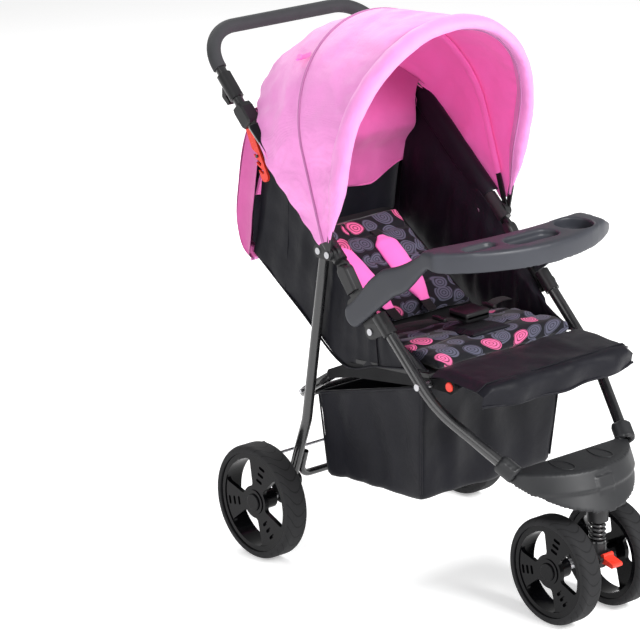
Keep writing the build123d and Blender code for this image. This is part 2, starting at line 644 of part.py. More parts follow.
def seat():
    """Seat frame of a rear U tube and flat bars, board, pad, crotch pad, legrest and its buttons."""
    points = [at(SEAT_TUBE_X, SEAT_TUBE_END), at(SEAT_TUBE_X, SEAT_TUBE_REAR),
              at(-SEAT_TUBE_X, SEAT_TUBE_REAR), at(-SEAT_TUBE_X, SEAT_TUBE_END)]
    save("seat_support_tube", bent_pipe(bent(points, SEAT_TUBE_R), SEAT_TUBE_D, TUBE_WALL))

    bar_x = (SEAT_TUBE_X + SEAT_TUBE_D / 2, SEAT_TUBE_X + SEAT_TUBE_D / 2 + BAR_T)
    profile = strap((BAR_TAIL, 9), (SEAT_PLATE, 14)) + strap((SEAT_PLATE, 14), (SEAT_FRONT, 9))
    profile += strap((SEAT_FRONT, 9), (LEGREST_PIVOT, 14))
    bar = slab(profile, *bar_x)
    bar += pin(LEGREST_PIVOT, 28, bar_x[1], bar_x[1] + 5)
    bar -= pin(LEGREST_PIVOT, BUTTON_D + 2 * SEAT_GAP, bar_x[0] + 1, bar_x[1] + 6)
    bar += pin(LEGREST_PIVOT, 10, bar_x[0] - 7, bar_x[0] + 1)
    bar += pin(SEAT_PIN, RIVET_D, bar_x[0] - 6, bar_x[0] + 1)
    bar -= pin(SEAT_FRONT, RIVET_D + 2 * RUN_GAP, 0, 300)
    save_both("seat_side_bars", bar)

    button = pin(LEGREST_PIVOT, BUTTON_D, bar_x[1] + 1, bar_x[1] + 8)
    button = fillet(button.edges().group_by(Axis.X)[-1], 2.0)
    save_pair("legrest_button", button)

    slope = degrees(atan2(SEAT_FRONT[1] - 5 - SEAT_PLATE[1], SEAT_FRONT[0] - SEAT_PLATE[0]))
    base = ahead(SEAT_PLATE, slope, 0, 14 + SEAT_GAP)
    run0 = (SEAT_BACK_F - base[0]) / cos(radians(slope))
    run1 = (SEAT_FRONT_F - base[0]) / cos(radians(slope))

    board = layer(base, slope, (run0, run1), (0, BOARD_T))
    save("seat_board", slab(board, -bar_x[1], bar_x[1]))
    low = BOARD_T + SEAT_GAP
    pad_half = bar_x[0] - 2
    save("seat_pad", cushion(base, slope, (run0 + 4, run1 + PAD_LAP), low, PAD_T, pad_half))

    crotch_run = (run0 + run1) / 2 + 36
    crotch_low = low + PAD_T + SEAT_GAP
    crotch_span = (crotch_run - CROTCH_PAD_L / 2, crotch_run + CROTCH_PAD_L / 2)
    crotch = layer(base, slope, crotch_span, (crotch_low, crotch_low + CROTCH_PAD_T))
    save("crotch_pad", slab(crotch, -CROTCH_PAD_HALF_W, CROTCH_PAD_HALF_W))

    def legrest_plan(half_back, half_front, back, front):
        y = [ORIGIN_F - f for f in (back, *LEGREST_STEP_F, front)]
        points = [(half_back, y[0]), (half_back, y[1]), (half_front, y[2]), (half_front, y[3])]
        shape = Polygon(*points, *[(-px, py) for px, py in reversed(points)], align=None)
        return fillet(shape.vertices().group_by(Axis.Y)[0], LEGREST_CORNER_R)

    plan = legrest_plan(bar_x[0] - 8, LEGREST_HALF_W, LEGREST_BACK_F, LEGREST_FRONT_F)
    panel = extrude(Plane.XY.offset(LEGREST_TOP_Z - LEGREST_T) * plan, amount=LEGREST_T)
    panel = fillet(panel.faces().sort_by(Axis.Z)[-1].edges(), 5.0)
    arm_x = (bar_x[0] - 7, bar_x[0] - SIDE_GAP)
    arm_tip = (LEGREST_PIVOT[0] + LEGREST_ARM_L, LEGREST_TOP_Z - LEGREST_T)
    arm = slab(strap((LEGREST_PIVOT, 11), (arm_tip, 6)), *arm_x)
    arm -= pin(LEGREST_PIVOT, 10 + 2 * RUN_GAP, *arm_x)
    save("legrest_panel", panel + arm + other(arm))
    return bar_x


def backrest(bar_x):
    """Hinge plates on the seat bars, the reclining back board, its pad and the two shoulder pads."""
    rise = 180 - BACK_SLOPE
    plate_x = (bar_x[0] - SIDE_GAP - 5, bar_x[0] - SIDE_GAP)
    plate = slab(strap((SEAT_PIN, 9), (BACK_PIVOT, 9)), *plate_x)
    plate -= pin(SEAT_PIN, RIVET_D + 2 * RUN_GAP, *plate_x)
    plate += pin(BACK_PIVOT, RIVET_D, plate_x[0] - 6, plate_x[0])
    save_both("seat_hinge_plates", plate)

    arm_x = (plate_x[0] - 6, plate_x[0] - SIDE_GAP)
    half_t = BOARD_T / 2
    corner_r = 30.0
    board_side = layer(BACK_PIVOT, rise, (16, BACK_L), (-half_t, half_t))
    board = slab(board_side, -BACK_HALF_W, BACK_HALF_W)
    short = board.edges().filter_by(lambda edge: edge.length < BOARD_T + 1)
    board = fillet(short.sort_by(Axis.Z)[-2:], corner_r)
    arm = slab(strap((BACK_PIVOT, 9), (ahead(BACK_PIVOT, rise, 26), 4)), *arm_x)
    arm -= pin(BACK_PIVOT, RIVET_D + 2 * RUN_GAP, *arm_x)
    save("backrest_board", board + arm + other(arm))

    pad_n = -half_t - SEAT_GAP
    pad_span = (34, BACK_L - 6)
    save("backrest_pad", cushion(BACK_PIVOT, rise, pad_span, pad_n, -BACK_PAD_T, BACK_HALF_W - 6))

    strip_n = pad_n - BACK_PAD_T - SEAT_GAP
    strip_side = layer(BACK_PIVOT, rise, SHOULDER_PAD_SPAN, (strip_n - SHOULDER_PAD_T, strip_n))
    strip = slab(strip_side, *SHOULDER_PAD_X)
    strip = fillet(strip.edges().filter_by(lambda edge: edge.length < SHOULDER_PAD_T + 1), 4.0)
    save_both("shoulder_pads", strip)
    return rise


def cloth_sides(bar_x, rise, rod_place, rod_d):
    """Cloth of the seat tub: two side walls hemmed to the tubes, the head wall and the rear flap."""
    side_x = (bar_x[1] + SEAT_GAP, bar_x[1] + SEAT_GAP + BASKET_T)
    under = BOARD_T + 6
    edge = [ahead(SOCKET, -TUBE_SLOPE, s, -16) for s in (HUB_REACH - 6, 45)]
    back = [ahead(BACK_PIVOT, rise, s, under) for s in (BACK_L - 28, 6)]
    head_foot = [ahead(BACK_PIVOT, rise, s, n) for s, n in ((BACK_L, 10), (BACK_L - 12, under - 4))]
    head = [TUB_HEAD, *head_foot]
    front = [*TUB_SEAT, (FOLD_PIVOT[0] + 6, FOLD_PIVOT[1] + 10)]
    wall = slab(outline(*edge, *head, *back, *front), *side_x)
    hem = [ahead(SOCKET, -TUBE_SLOPE, s, -3) for s in (60, HUB_REACH - 90)]
    hem_x = FRAME_X - TUBE_D / 2 - SEAT_GAP
    band = slab(strap((hem[0], 3), (hem[1], 3)), side_x[0], hem_x)
    web_foot = [ahead(SOCKET, -TUBE_SLOPE, s, -20) for s in (60, HUB_REACH - 90)]
    web = outline(*web_foot, hem[1], hem[0])
    hole = pin(rod_place, rod_d + 4 * SEAT_GAP, 0, FRAME_X)
    save_both("side_panels", wall + band + slab(web, *side_x) - hole)

    half = bar_x[0] - 1
    foot = ahead(BACK_PIVOT, rise, BACK_L + 3, 0)
    hem_ring = spot(rod_place, rod_d / 2 + SEAT_GAP + 2)
    sheet = strap((rod_place, 1.5), (foot, 1.5)) + hem_ring - spot(rod_place, rod_d / 2 + SEAT_GAP)
    save("head_panel", slab(sheet, -half, half))

    near = [(ORIGIN_F - f, z) for f, z in FLAP_LINE]
    far = [(y + BASKET_T, z) for y, z in near]
    face = make_face([Spline(*near), Line(near[-1], far[-1]), Spline(*far), Line(far[0], near[0])])
    flap = slab(face, -FLAP_HALF_W, FLAP_HALF_W)
    save("rear_flap", flap)


def arch_plane(angle):
    """The plane of a canopy arch: X across, Y out from the pivots."""
    facing = (0, -sin(radians(angle)), -cos(radians(angle)))
    return Plane(origin=at(0, HUB), x_dir=(1, 0, 0), z_dir=facing)


def arch_path(angle, reach, half, start):
    """A canopy bow's line: up from one side pivot, over in a half circle and down to the other."""
    straight = reach - half
    tilt = arch_plane(angle)
    points = [(half, start), (half, straight), (0, reach), (-half, straight), (-half, start)]
    corner = [tilt.from_local_coords(Vector(px, py, 0)) for px, py in points]
    over = ThreePointArc(corner[1], corner[2], corner[3])
    return Wire([Line(corner[0], corner[1]), over, Line(corner[3], corner[4])])


def arch_band(angle, reach, half, start, thickness):
    """The arch as a thin face in its own plane."""
    tilt = arch_plane(angle)
    inner = half - thickness
    rise = reach - half
    edges = [Line((half, start), (half, rise)), ThreePointArc((half, rise), (0, reach), (-half, rise)),
             Line((-half, rise), (-half, start)), Line((-half, start), (-inner, start)),
             Line((-inner, start), (-inner, rise)),
             ThreePointArc((-inner, rise), (0, reach - thickness), (inner, rise)),
             Line((inner, rise), (inner, start)), Line((inner, start), (half, start))]
    return tilt * make_face(edges)


def bow_bar(angle, reach, x0, x1):
    """Flat plastic bow with an eye on each pivot."""
    half = (x0 + x1) / 2
    path = arch_path(angle, reach, half, 0.0)
    plane = Plane(origin=path @ 0, x_dir=(1, 0, 0), z_dir=path % 0)
    bar = sweep(plane * Rectangle(x1 - x0, BOW_DEPTH), path=path)
    eye = pin(HUB, 20, x0, x1)
    hole = pin(HUB, RIVET_D + 2 * RUN_GAP, -400, 400)
    return bar + eye + other(eye) - hole


def canopy(boss_x):
    """Two bows on the hub pins, the cloth between them and the tubes, and the padded brim."""
    mid_x = (boss_x + SIDE_GAP, boss_x + SIDE_GAP + BOW_T)
    front_x = (mid_x[1] + SIDE_GAP, mid_x[1] + SIDE_GAP + BOW_T)
    save("canopy_mid_bow", bow_bar(MID_BOW_ANGLE, MID_BOW_REACH, *mid_x))
    front = bow_bar(FRONT_BOW_ANGLE, FRONT_BOW_REACH, *front_x)
    save("canopy_front_bow", front)

    start = 46.0
    cloth_x = front_x[1] + SIDE_GAP + CLOTH_T
    clear = 3.0
    lift = cloth_x - mid_x[1]

    def band(angle, reach):
        return arch_band(angle, reach + lift, cloth_x, start, CLOTH_T)

    seam = 0.2
    middle_reach = (MID_BOW_REACH + REAR_ARCH_REACH) / 2 + REAR_BULGE
    middle = band((MID_BOW_ANGLE + REAR_ARCH_ANGLE) / 2, middle_reach)
    rear_edge = band(REAR_ARCH_ANGLE, REAR_ARCH_REACH)
    rear = loft([band(MID_BOW_ANGLE + seam, MID_BOW_REACH), middle, rear_edge])
    skirt_low = 180 - TUBE_SLOPE + 1
    skirt_line = [(REAR_ARCH_ANGLE, start), (REAR_ARCH_ANGLE, 190), (skirt_low, 290), (skirt_low, start)]
    corners = [ahead(HUB, angle, reach) for angle, reach in skirt_line]
    skirt = slab(outline(*corners), cloth_x - CLOTH_T, cloth_x)
    save("canopy_rear_panel", rear + skirt + other(skirt))

    brim_edge = FRONT_BOW_ANGLE + degrees(atan2(BRIM_D / 2 + clear, FRONT_BOW_REACH - cloth_x))
    front_cloth = loft([band(brim_edge, FRONT_BOW_REACH), band(MID_BOW_ANGLE - seam, MID_BOW_REACH)])

    bow_x = (front_x[0] + front_x[1]) / 2

    def roll(grow):
        path = arch_path(FRONT_BOW_ANGLE, FRONT_BOW_REACH, bow_x, BRIM_TAPER[1])
        low = (Align.CENTER, Align.CENTER, Align.MIN)
        taper_l = BRIM_TAPER[1] - BRIM_TAPER[0]
        cone = Cone(BRIM_D / 2 + grow, BRIM_TIP_D / 2 + grow, taper_l, align=low)
        tip = Plane(origin=path @ 0, z_dir=-(path % 0)) * cone
        return along(path, BRIM_D + 2 * grow) + tip + other(tip)

    brim = roll(0)
    save("canopy_front_panel", front_cloth - roll(SEAT_GAP))
    core_path = arch_path(FRONT_BOW_ANGLE, FRONT_BOW_REACH, bow_x, 0.0)
    plane = Plane(origin=core_path @ 0, x_dir=(1, 0, 0), z_dir=core_path % 0)
    bow_room = Rectangle(BOW_T + 2 * SEAT_GAP, BOW_DEPTH + 2 * SEAT_GAP)
    brim -= sweep(plane * bow_room, path=core_path)
    save("canopy_brim", brim)


def basket():
    """Open cloth box hung under the seat bars."""
    def ring(places, half, inset):
        rear = (places[0][0] + inset, places[0][1] + inset)
        front = (places[1][0] - inset, places[1][1] + inset)
        inner = half - inset
        corners = [at(inner, rear), at(inner, front), at(-inner, front), at(-inner, rear)]
        return Face(Wire.make_polygon(corners, close=True))

    def box(inset):
        rings = [ring(BASKET_LOW, BASKET_BOTTOM_X, inset), ring(BASKET_TOP, BASKET_TOP_X, inset)]
        return loft(rings, ruled=True)

    save("basket", box(0) - box(BASKET_T))


os.makedirs("parts", exist_ok=True)
block_shape, tube_solid = handle()
rod_seat, rod_size = recline_parts(block_shape, tube_solid)
bracket_span, boss_face, tongue_shape = hubs(tube_solid)
tray(bracket_span, tongue_shape)
front_legs(bracket_span)
caster()
wheels()
rear_legs()
bar_span = seat()
back_angle = backrest(bar_span)
cloth_sides(bar_span, back_angle, rod_seat, rod_size)
canopy(boss_face)
basket()
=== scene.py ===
"""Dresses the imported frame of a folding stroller: finishes, cloth, pads, harness and stage."""

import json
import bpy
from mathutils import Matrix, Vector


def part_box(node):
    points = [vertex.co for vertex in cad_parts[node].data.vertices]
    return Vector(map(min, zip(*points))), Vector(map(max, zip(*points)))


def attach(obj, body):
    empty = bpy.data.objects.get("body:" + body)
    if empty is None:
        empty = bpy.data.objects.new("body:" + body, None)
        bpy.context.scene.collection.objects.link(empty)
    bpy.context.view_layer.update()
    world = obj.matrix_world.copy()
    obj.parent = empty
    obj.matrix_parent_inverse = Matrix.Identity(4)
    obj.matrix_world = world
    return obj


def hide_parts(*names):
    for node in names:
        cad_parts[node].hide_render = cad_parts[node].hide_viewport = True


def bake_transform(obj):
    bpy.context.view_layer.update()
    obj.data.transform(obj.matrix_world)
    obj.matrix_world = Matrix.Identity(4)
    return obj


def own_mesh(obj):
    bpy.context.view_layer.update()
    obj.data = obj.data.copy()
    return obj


bl_info = {
    "name": "Folding Stroller Dressing",
    "version": (1, 0, 0),
    "blender": (4, 5, 0),
    "location": "View3D > Sidebar > Stroller",
    "description": "Adds the cloth, pads, harness, finishes and stage of a folding stroller to its frame",
    "category": "Object",
}

from math import cos, pi, radians, sin, sqrt, tan

import bpy
from mathutils import Matrix, Vector, noise

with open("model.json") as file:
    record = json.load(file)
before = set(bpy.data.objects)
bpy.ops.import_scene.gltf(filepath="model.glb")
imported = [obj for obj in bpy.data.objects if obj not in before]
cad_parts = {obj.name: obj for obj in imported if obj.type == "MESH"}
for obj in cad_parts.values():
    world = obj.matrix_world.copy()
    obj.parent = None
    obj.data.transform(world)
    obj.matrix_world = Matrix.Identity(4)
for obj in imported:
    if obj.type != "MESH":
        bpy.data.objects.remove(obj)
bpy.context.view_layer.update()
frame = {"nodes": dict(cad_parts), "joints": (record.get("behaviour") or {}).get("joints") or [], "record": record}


def joint_place(name):
    """Where a joint of the frame sits."""
    for joint in frame["joints"]:
        if joint["name"] == name:
            return Vector(joint["pos_m"])
    raise RuntimeError(f"the frame has no joint {name}")


AXLE_Y = joint_place("rear_wheel_left_spin").y
HUB = joint_place("canopy_mid_swing")
BACK_PIVOT = joint_place("recline")

SIDES = (("left", 1), ("right", -1))

# The canopy: angles of its edges round the hub, from straight ahead
BRIM_ANGLE = 78.0
SEAM_ANGLE = 109.0
TUBE_ANGLE = 141.5
CROWN_ANGLE = 137.4

# The canopy: half its width, how far from the hub its cloth starts and how far its edges reach
CLOTH_HALF = 0.2295
ARCH_START = 0.024
SEAM_REACH = 0.422
REAR_REACH = 0.430
BRIM_REACH = 0.4255

# Arches at the bows: reach from the hub, half width and how far from the hub each one starts
BOW_ARCH = (0.4162, 0.2221, 0.070)
BRIM_ARCH = (0.424, 0.2255, 0.030)
STITCH_ARCH = (0.4225, 0.2255, 0.040)
WELT_START = 0.036
ARCH_STEPS = 90

# The angles of the backrest and the seat
BACK_SLOPE = 32.5
SEAT_SLOPE = 6.2

# Lines in side view: ahead of the rear axle and above the floor
FLAP_LINE = [(-0.093, 0.850), (-0.125, 0.780), (-0.149, 0.658), (-0.150, 0.606), (-0.139, 0.571),
             (-0.110, 0.550)]
TUB_TOP = [(-0.070, 0.800), (0.040, 0.716), (0.145, 0.638), (0.222, 0.560), (0.296, 0.492)]
TUB_FOOT = [(-0.106, 0.566), (0.030, 0.479), (0.150, 0.404), (0.250, 0.424), (0.386, 0.450)]
ROD_SPOT = (-0.0667, 0.763)
HEAD_FOOT = (-0.114, 0.577)
BASKET_TOP = [(0.076, 0.328), (0.366, 0.4125)]
BASKET_LOW = [(0.084, 0.163), (0.346, 0.179)]
LEGREST_LINE = [(0.402, 0.4560), (0.430, 0.4610), (0.465, 0.4615), (0.500, 0.4605),
                (0.530, 0.4585), (0.545, 0.4510), (0.5475, 0.4370), (0.545, 0.4210)]

# Half widths of the cloth, some of them at the top and at the foot
FLAP_HALF = 0.190
COVER_HALF = 0.190
CORNER_HALF = (0.188, 0.2285)
GUSSET_HALF = (0.1885, 0.1925)
TUB_HALF = (0.1945, 0.1815)
BACK_HALF = (0.204, 0.185)
HEAD_HALF = (0.190, 0.180)
BASKET_HALF = (0.1785, 0.1625)

# Creases of each cloth: how fine they are and how deep
CREASES = {
    "corner": [(30.0, 0.0012)],
    "sleeve": [(60.0, 0.0006)],
    "brim": [(26.0, 0.0016)],
    "flap": [(10.0, 0.005), (27.0, 0.0016)],
    "gusset": [(18.0, 0.0025)],
    "tub": [(14.0, 0.004), (33.0, 0.0014)],
    "lap": [(40.0, 0.0008)],
    "back_panel": [(12.0, 0.004), (27.0, 0.0016)],
    "head_wall": [(12.0, 0.004), (30.0, 0.0014)],
    "shoulder": [(30.0, 0.0016)],
    "legrest": [(17.0, 0.0036), (41.0, 0.0012)],
    "basket": [(15.0, 0.0065, (1.5, 1.5, 0.6)), (36.0, 0.0016)],
}

# The lowest that the basket's cloth hangs
BASKET_FLOOR = 0.158

# The handle tubes: the angle of their middle line, how far ahead they pass the hub, and their rise over run
TUBE_MIDDLE = TUBE_ANGLE - 1.5
TUBE_AHEAD = 0.160
TUBE_RISE = tan(radians(40.0))

# The way out of the tubes in side view, and the cloth lapped over them: how far from the hub it runs, and its
# side places with its heights over the tube's middle
TUBE_NORMAL = Vector((0.0, -sin(radians(40.0)), cos(radians(40.0))))
LAP_REACH = (0.040, 0.300)
TUBE_LAP = [(0.1915, -0.016), (0.1925, -0.004), (0.1940, 0.006), (0.1995, 0.0135),
            (0.2080, 0.0160), (0.2180, 0.0145), (0.2262, 0.009)]

# The tray's slide in side view, and its rounded end: side place, way ahead and radius
TRAY_SEAT = (0.222, 0.549)
TRAY_SLOPE = 38.0
TRAY_END = (0.170, 0.448, 0.046)

# Heights on the tray: its crest, its rounded end and the rim round its recesses
TRAY_CREST = 0.670
TRAY_END_TOP = 0.659
TRAY_RIM = 0.657

# The tray's recesses: side place, way ahead, half run of a slot and half width
TRAY_WELLS = [(0.104, 0.464, 0.0, 0.036), (-0.014, 0.476, 0.037, 0.022), (-0.128, 0.462, 0.024, 0.013)]

# Face sizes of the even grids that pads and moulded shells are shaped on
PAD_GRID = 0.0055
SHELL_GRID = 0.0026

# The footrest: the height of the line under its cap, and the place of the sole outlines on top
CAP_LINE = 0.2560
SOLE_SPOT = (0.048, 0.596, 0.2947)

# The harness: thickness of its webbing, and how far along the backrest its shoulder belts and pads run
BELT_THICK = 0.0016
BELT_RUN = (0.268, 0.034)
SHOULDER_RUN = (0.234, 0.062)

# Long pads: how far they are drawn in at first, how far they may then swell, and their sewn channels
PAD_SHRINK = 0.005
PAD_SWELL = 0.010
CHANNEL_DEPTH = 0.0045
CHANNEL_HALF = 0.014

# Lights: name, place, size and power
LIGHTS = [("key", (0.5, -3.2, 2.7), 1.4, 195.0), ("fill", (-2.8, -1.0, 1.8), 2.4, 36.0),
          ("rim", (0.6, 2.8, 2.6), 2.0, 85.0)]
LIGHT_AIM = Vector((0.0, 0.05, 0.5))

# The camera: its turn and rise in degrees, its distance, what it looks at, and its lens in image pixels,
# with the column of the image that lies straight ahead of it
CAMERA_TURN = -41.81
CAMERA_RISE = 17.9
CAMERA_FAR = 6.448
CAMERA_SPOT = (-0.01263, 0.16116, 0.46552)
IMAGE_WIDE = 640.0
IMAGE_MIDDLE = 415.0
FOCAL_PIXELS = 3428.9
SENSOR_WIDE = 36.0


class StrollerColours(bpy.types.PropertyGroup):
    """Colours of the cloth and the mouldings"""
    canopy: bpy.props.FloatVectorProperty(
        name="Canopy", description="Outer canopy cloth", subtype="COLOR", default=(0.80, 0.28, 0.63))
    lining: bpy.props.FloatVectorProperty(
        name="Lining", description="Canopy lining, flap and shoulder pads", subtype="COLOR",
        default=(0.92, 0.17, 0.53))
    tub: bpy.props.FloatVectorProperty(
        name="Tub cloth", description="Black cloth of the tub, basket and legrest", subtype="COLOR",
        default=(0.0045, 0.0045, 0.0078))
    print_warm: bpy.props.FloatVectorProperty(
        name="Print, warm", description="Warm motif of the printed cloth", subtype="COLOR",
        default=(0.70, 0.13, 0.30))
    print_cool: bpy.props.FloatVectorProperty(
        name="Print, cool", description="Cool motif of the printed cloth", subtype="COLOR",
        default=(0.085, 0.085, 0.125))
    tray: bpy.props.FloatVectorProperty(
        name="Tray", description="Charcoal moulding of the play tray", subtype="COLOR",
        default=(0.030, 0.032, 0.040))
    accent: bpy.props.FloatVectorProperty(
        name="Accent", description="Red racks, buttons and lever", subtype="COLOR",
        default=(0.78, 0.045, 0.025))


class StrollerSizes(bpy.types.PropertyGroup):
    """Sizes of the cloth and its sewing"""
    cloth: bpy.props.FloatProperty(
        name="Cloth", description="Thickness of a cloth panel", default=0.0016, unit="LENGTH")
    piping: bpy.props.FloatProperty(
        name="Piping", description="Radius of the sewn piping", default=0.0021, unit="LENGTH")
    brim_wide: bpy.props.FloatProperty(
        name="Brim width", description="Width of the padded brim", default=0.042, unit="LENGTH")
    brim_thick: bpy.props.FloatProperty(
        name="Brim thickness", description="Thickness of the padded brim", default=0.026, unit="LENGTH")
    sag: bpy.props.FloatProperty(
        name="Canopy sag", description="How far the canopy cloth dips between its bows", default=0.007,
        unit="LENGTH")
    belly: bpy.props.FloatProperty(
        name="Basket belly", description="How far the basket's floor hangs", default=0.006, unit="LENGTH")
    webbing: bpy.props.FloatProperty(
        name="Webbing", description="Width of the harness webbing", default=0.025, unit="LENGTH")


def spot(x, ahead, up):
    """A point from its side place, its way ahead of the rear axle and its height."""
    return Vector((x, AXLE_Y - ahead, up))


def reach_point(x, angle, reach):
    """A point at a reach from the hub's line, along an angle from straight ahead."""
    turn = radians(angle)
    return Vector((x, HUB.y - reach * cos(turn), HUB.z + reach * sin(turn)))


def mix(a, b, share):
    """A value between two, at a share of the way."""
    return a + (b - a) * share


def ease(share):
    """A soft step from 0 to 1."""
    share = min(max(share, 0.0), 1.0)
    return share * share * (3 - 2 * share)


def along_line(points, share):
    """A place on a smooth line through some pairs."""
    count = len(points) - 1
    place = min(share * count, count - 1e-6)
    i = int(place)
    t = place - i
    before = points[max(i - 1, 0)]
    after = points[min(i + 2, count)]
    a, b = points[i], points[i + 1]
    result = []
    for k in range(2):
        m0 = (b[k] - before[k]) / 2
        m1 = (after[k] - a[k]) / 2
        result.append(a[k] * (2 * t**3 - 3 * t**2 + 1) + m0 * (t**3 - 2 * t**2 + t)
                      + b[k] * (3 * t**2 - 2 * t**3) + m1 * (t**3 - t**2))
    return result


# Node graphs


def add_node(finish, kind, inputs=None, **settings):
    """A node of a finish, with its inputs set or linked."""
    made = finish.node_tree.nodes.new(kind)
    for key, value in settings.items():
        setattr(made, key, value)
    for key, value in (inputs or {}).items():
        if isinstance(value, bpy.types.NodeSocket):
            finish.node_tree.links.new(value, made.inputs[key])
        else:
            made.inputs[key].default_value = value
    return made


def start_finish(name, colour, roughness):
    """A new finish of one colour and its shader."""
    finish = bpy.data.materials.new(name)
    finish.use_nodes = True
    finish.diffuse_color = (*colour, 1.0)
    shader = finish.node_tree.nodes["Principled BSDF"]
    shader.inputs["Base Color"].default_value = (*colour, 1.0)
    shader.inputs["Roughness"].default_value = roughness
    return finish, shader


def object_place(finish, turn=(0.0, 0.0, 0.0), shift=(0.0, 0.0, 0.0)):
    """Object coordinates, turned and shifted if asked."""
    coords = add_node(finish, "ShaderNodeTexCoord")
    mapping = add_node(finish, "ShaderNodeMapping", {"Vector": coords.outputs["Object"], "Location": shift,
                                                     "Rotation": [radians(angle) for angle in turn]})
    return mapping.outputs["Vector"]


def join(finish, socket, target):
    finish.node_tree.links.new(socket, target)


def noise_field(finish, place, scale, detail=3.0):
    field = add_node(finish, "ShaderNodeTexNoise", {"Vector": place, "Scale": scale, "Detail": detail})
    return field.outputs["Fac"]


def two_tone(finish, share, dark, light):
    """A colour between two, by a field."""
    blend = add_node(finish, "ShaderNodeMix", {0: share, 6: (*dark, 1.0), 7: (*light, 1.0)}, data_type="RGBA")
    return blend.outputs[2]


def shade(colour, factor):
    """A colour made darker or lighter."""
    return tuple(min(channel * factor, 1.0) for channel in colour)


def spread(finish, value, low, high, to_low, to_high):
    """A field stretched from one range to another."""
    field = add_node(finish, "ShaderNodeMapRange", {"Value": value, "From Min": low, "From Max": high,
                                                    "To Min": to_low, "To Max": to_high})
    return field.outputs["Result"]


def bump(finish, shader, height, strength, depth):
    relief = add_node(finish, "ShaderNodeBump", {"Height": height, "Strength": strength, "Distance": depth})
    join(finish, relief.outputs["Normal"], shader.inputs["Normal"])


def math_node(finish, operation, a, b=0.0):
    return add_node(finish, "ShaderNodeMath", {0: a, 1: b}, operation=operation).outputs["Value"]


def enamel(name, colour, roughness):
    """Sprayed enamel on steel tube: a clear coat over a faintly uneven colour."""
    finish, shader = start_finish(name, colour, roughness)
    place = object_place(finish)
    mottle = noise_field(finish, place, 60.0)
    tones = two_tone(finish, mottle, shade(colour, 0.8), shade(colour, 1.5))
    join(finish, tones, shader.inputs["Base Color"])
    dullness = spread(finish, mottle, 0.3, 0.7, roughness * 0.8, roughness * 1.3)
    join(finish, dullness, shader.inputs["Roughness"])
    bump(finish, shader, noise_field(finish, place, 420.0), 0.05, 0.0004)
    shader.inputs["Coat Weight"].default_value = 0.5
    shader.inputs["Coat Roughness"].default_value = 0.12
    return finish


def moulding(name, colour, roughness, grain=1100.0, relief=0.12, gloss=0.4):
    """Moulded plastic with a fine spark-eroded grain."""
    finish, shader = start_finish(name, colour, roughness)
    place = object_place(finish)
    cloud = noise_field(finish, place, 22.0)
    tones = two_tone(finish, cloud, shade(colour, 0.82), shade(colour, 1.2))
    join(finish, tones, shader.inputs["Base Color"])
    dullness = spread(finish, cloud, 0.3, 0.7, roughness * 0.88, roughness * 1.12)
    join(finish, dullness, shader.inputs["Roughness"])
    bump(finish, shader, noise_field(finish, place, grain, 2.0), relief, 0.0004)
    shader.inputs["Specular IOR Level"].default_value = gloss
    return finish


def steel(name):
    """Bright rolled steel with fine drawn lines."""
    finish, shader = start_finish(name, (0.46, 0.46, 0.48), 0.3)
    shader.inputs["Metallic"].default_value = 1.0
    place = object_place(finish)
    lines = noise_field(finish, place, 260.0)
    join(finish, spread(finish, lines, 0.3, 0.7, 0.2, 0.38), shader.inputs["Roughness"])
    bump(finish, shader, lines, 0.06, 0.0003)
    return finish


def foam(name, colour):
    """Foamed grip rubber: matt, with small open cells."""
    finish, shader = start_finish(name, colour, 0.85)
    place = object_place(finish)
    cells = add_node(finish, "ShaderNodeTexVoronoi", {"Vector": place, "Scale": 620.0}).outputs["Distance"]
    cloud = noise_field(finish, place, 30.0)
    tones = two_tone(finish, cloud, shade(colour, 0.8), shade(colour, 1.25))
    join(finish, tones, shader.inputs["Base Color"])
    bump(finish, shader, cells, 0.25, 0.0008)
    return finish


def weave_height(finish, place, pitch):
    """Threads of a plain weave, over and under, at a thread pitch."""
    scale = 0.314 / pitch
    warp = add_node(finish, "ShaderNodeTexWave", {"Vector": place, "Scale": scale}, bands_direction="X")
    weft = add_node(finish, "ShaderNodeTexWave", {"Vector": place, "Scale": scale}, bands_direction="Z")
    return math_node(finish, "MULTIPLY", warp.outputs["Fac"], weft.outputs["Fac"])


def cloth(name, colour, pitch=0.0015, relief=0.22, sheen=0.25, tone=0.12, roughness=0.75, gloss=0.22,
          folds=0.0):
    """Woven polyester: thread relief, soft creases and a slight sheen."""
    finish, shader = start_finish(name, colour, roughness)
    place = object_place(finish)
    cloud = noise_field(finish, place, 14.0, 4.0)
    low, high = shade(colour, 1 - tone), shade(colour, 1 + tone)
    join(finish, two_tone(finish, cloud, low, high), shader.inputs["Base Color"])
    threads = weave_height(finish, place, pitch)
    slack = noise_field(finish, place, 38.0, 5.0)
    height = math_node(finish, "ADD", math_node(finish, "MULTIPLY", threads, 0.12), slack)
    if folds:
        broad = math_node(finish, "MULTIPLY", noise_field(finish, place, 12.0, 1.5), folds)
        height = math_node(finish, "ADD", height, broad)
    bump(finish, shader, height, relief, 0.003)
    shader.inputs["Specular IOR Level"].default_value = gloss
    shader.inputs["Sheen Weight"].default_value = sheen
    shader.inputs["Sheen Roughness"].default_value = 0.45
    return finish


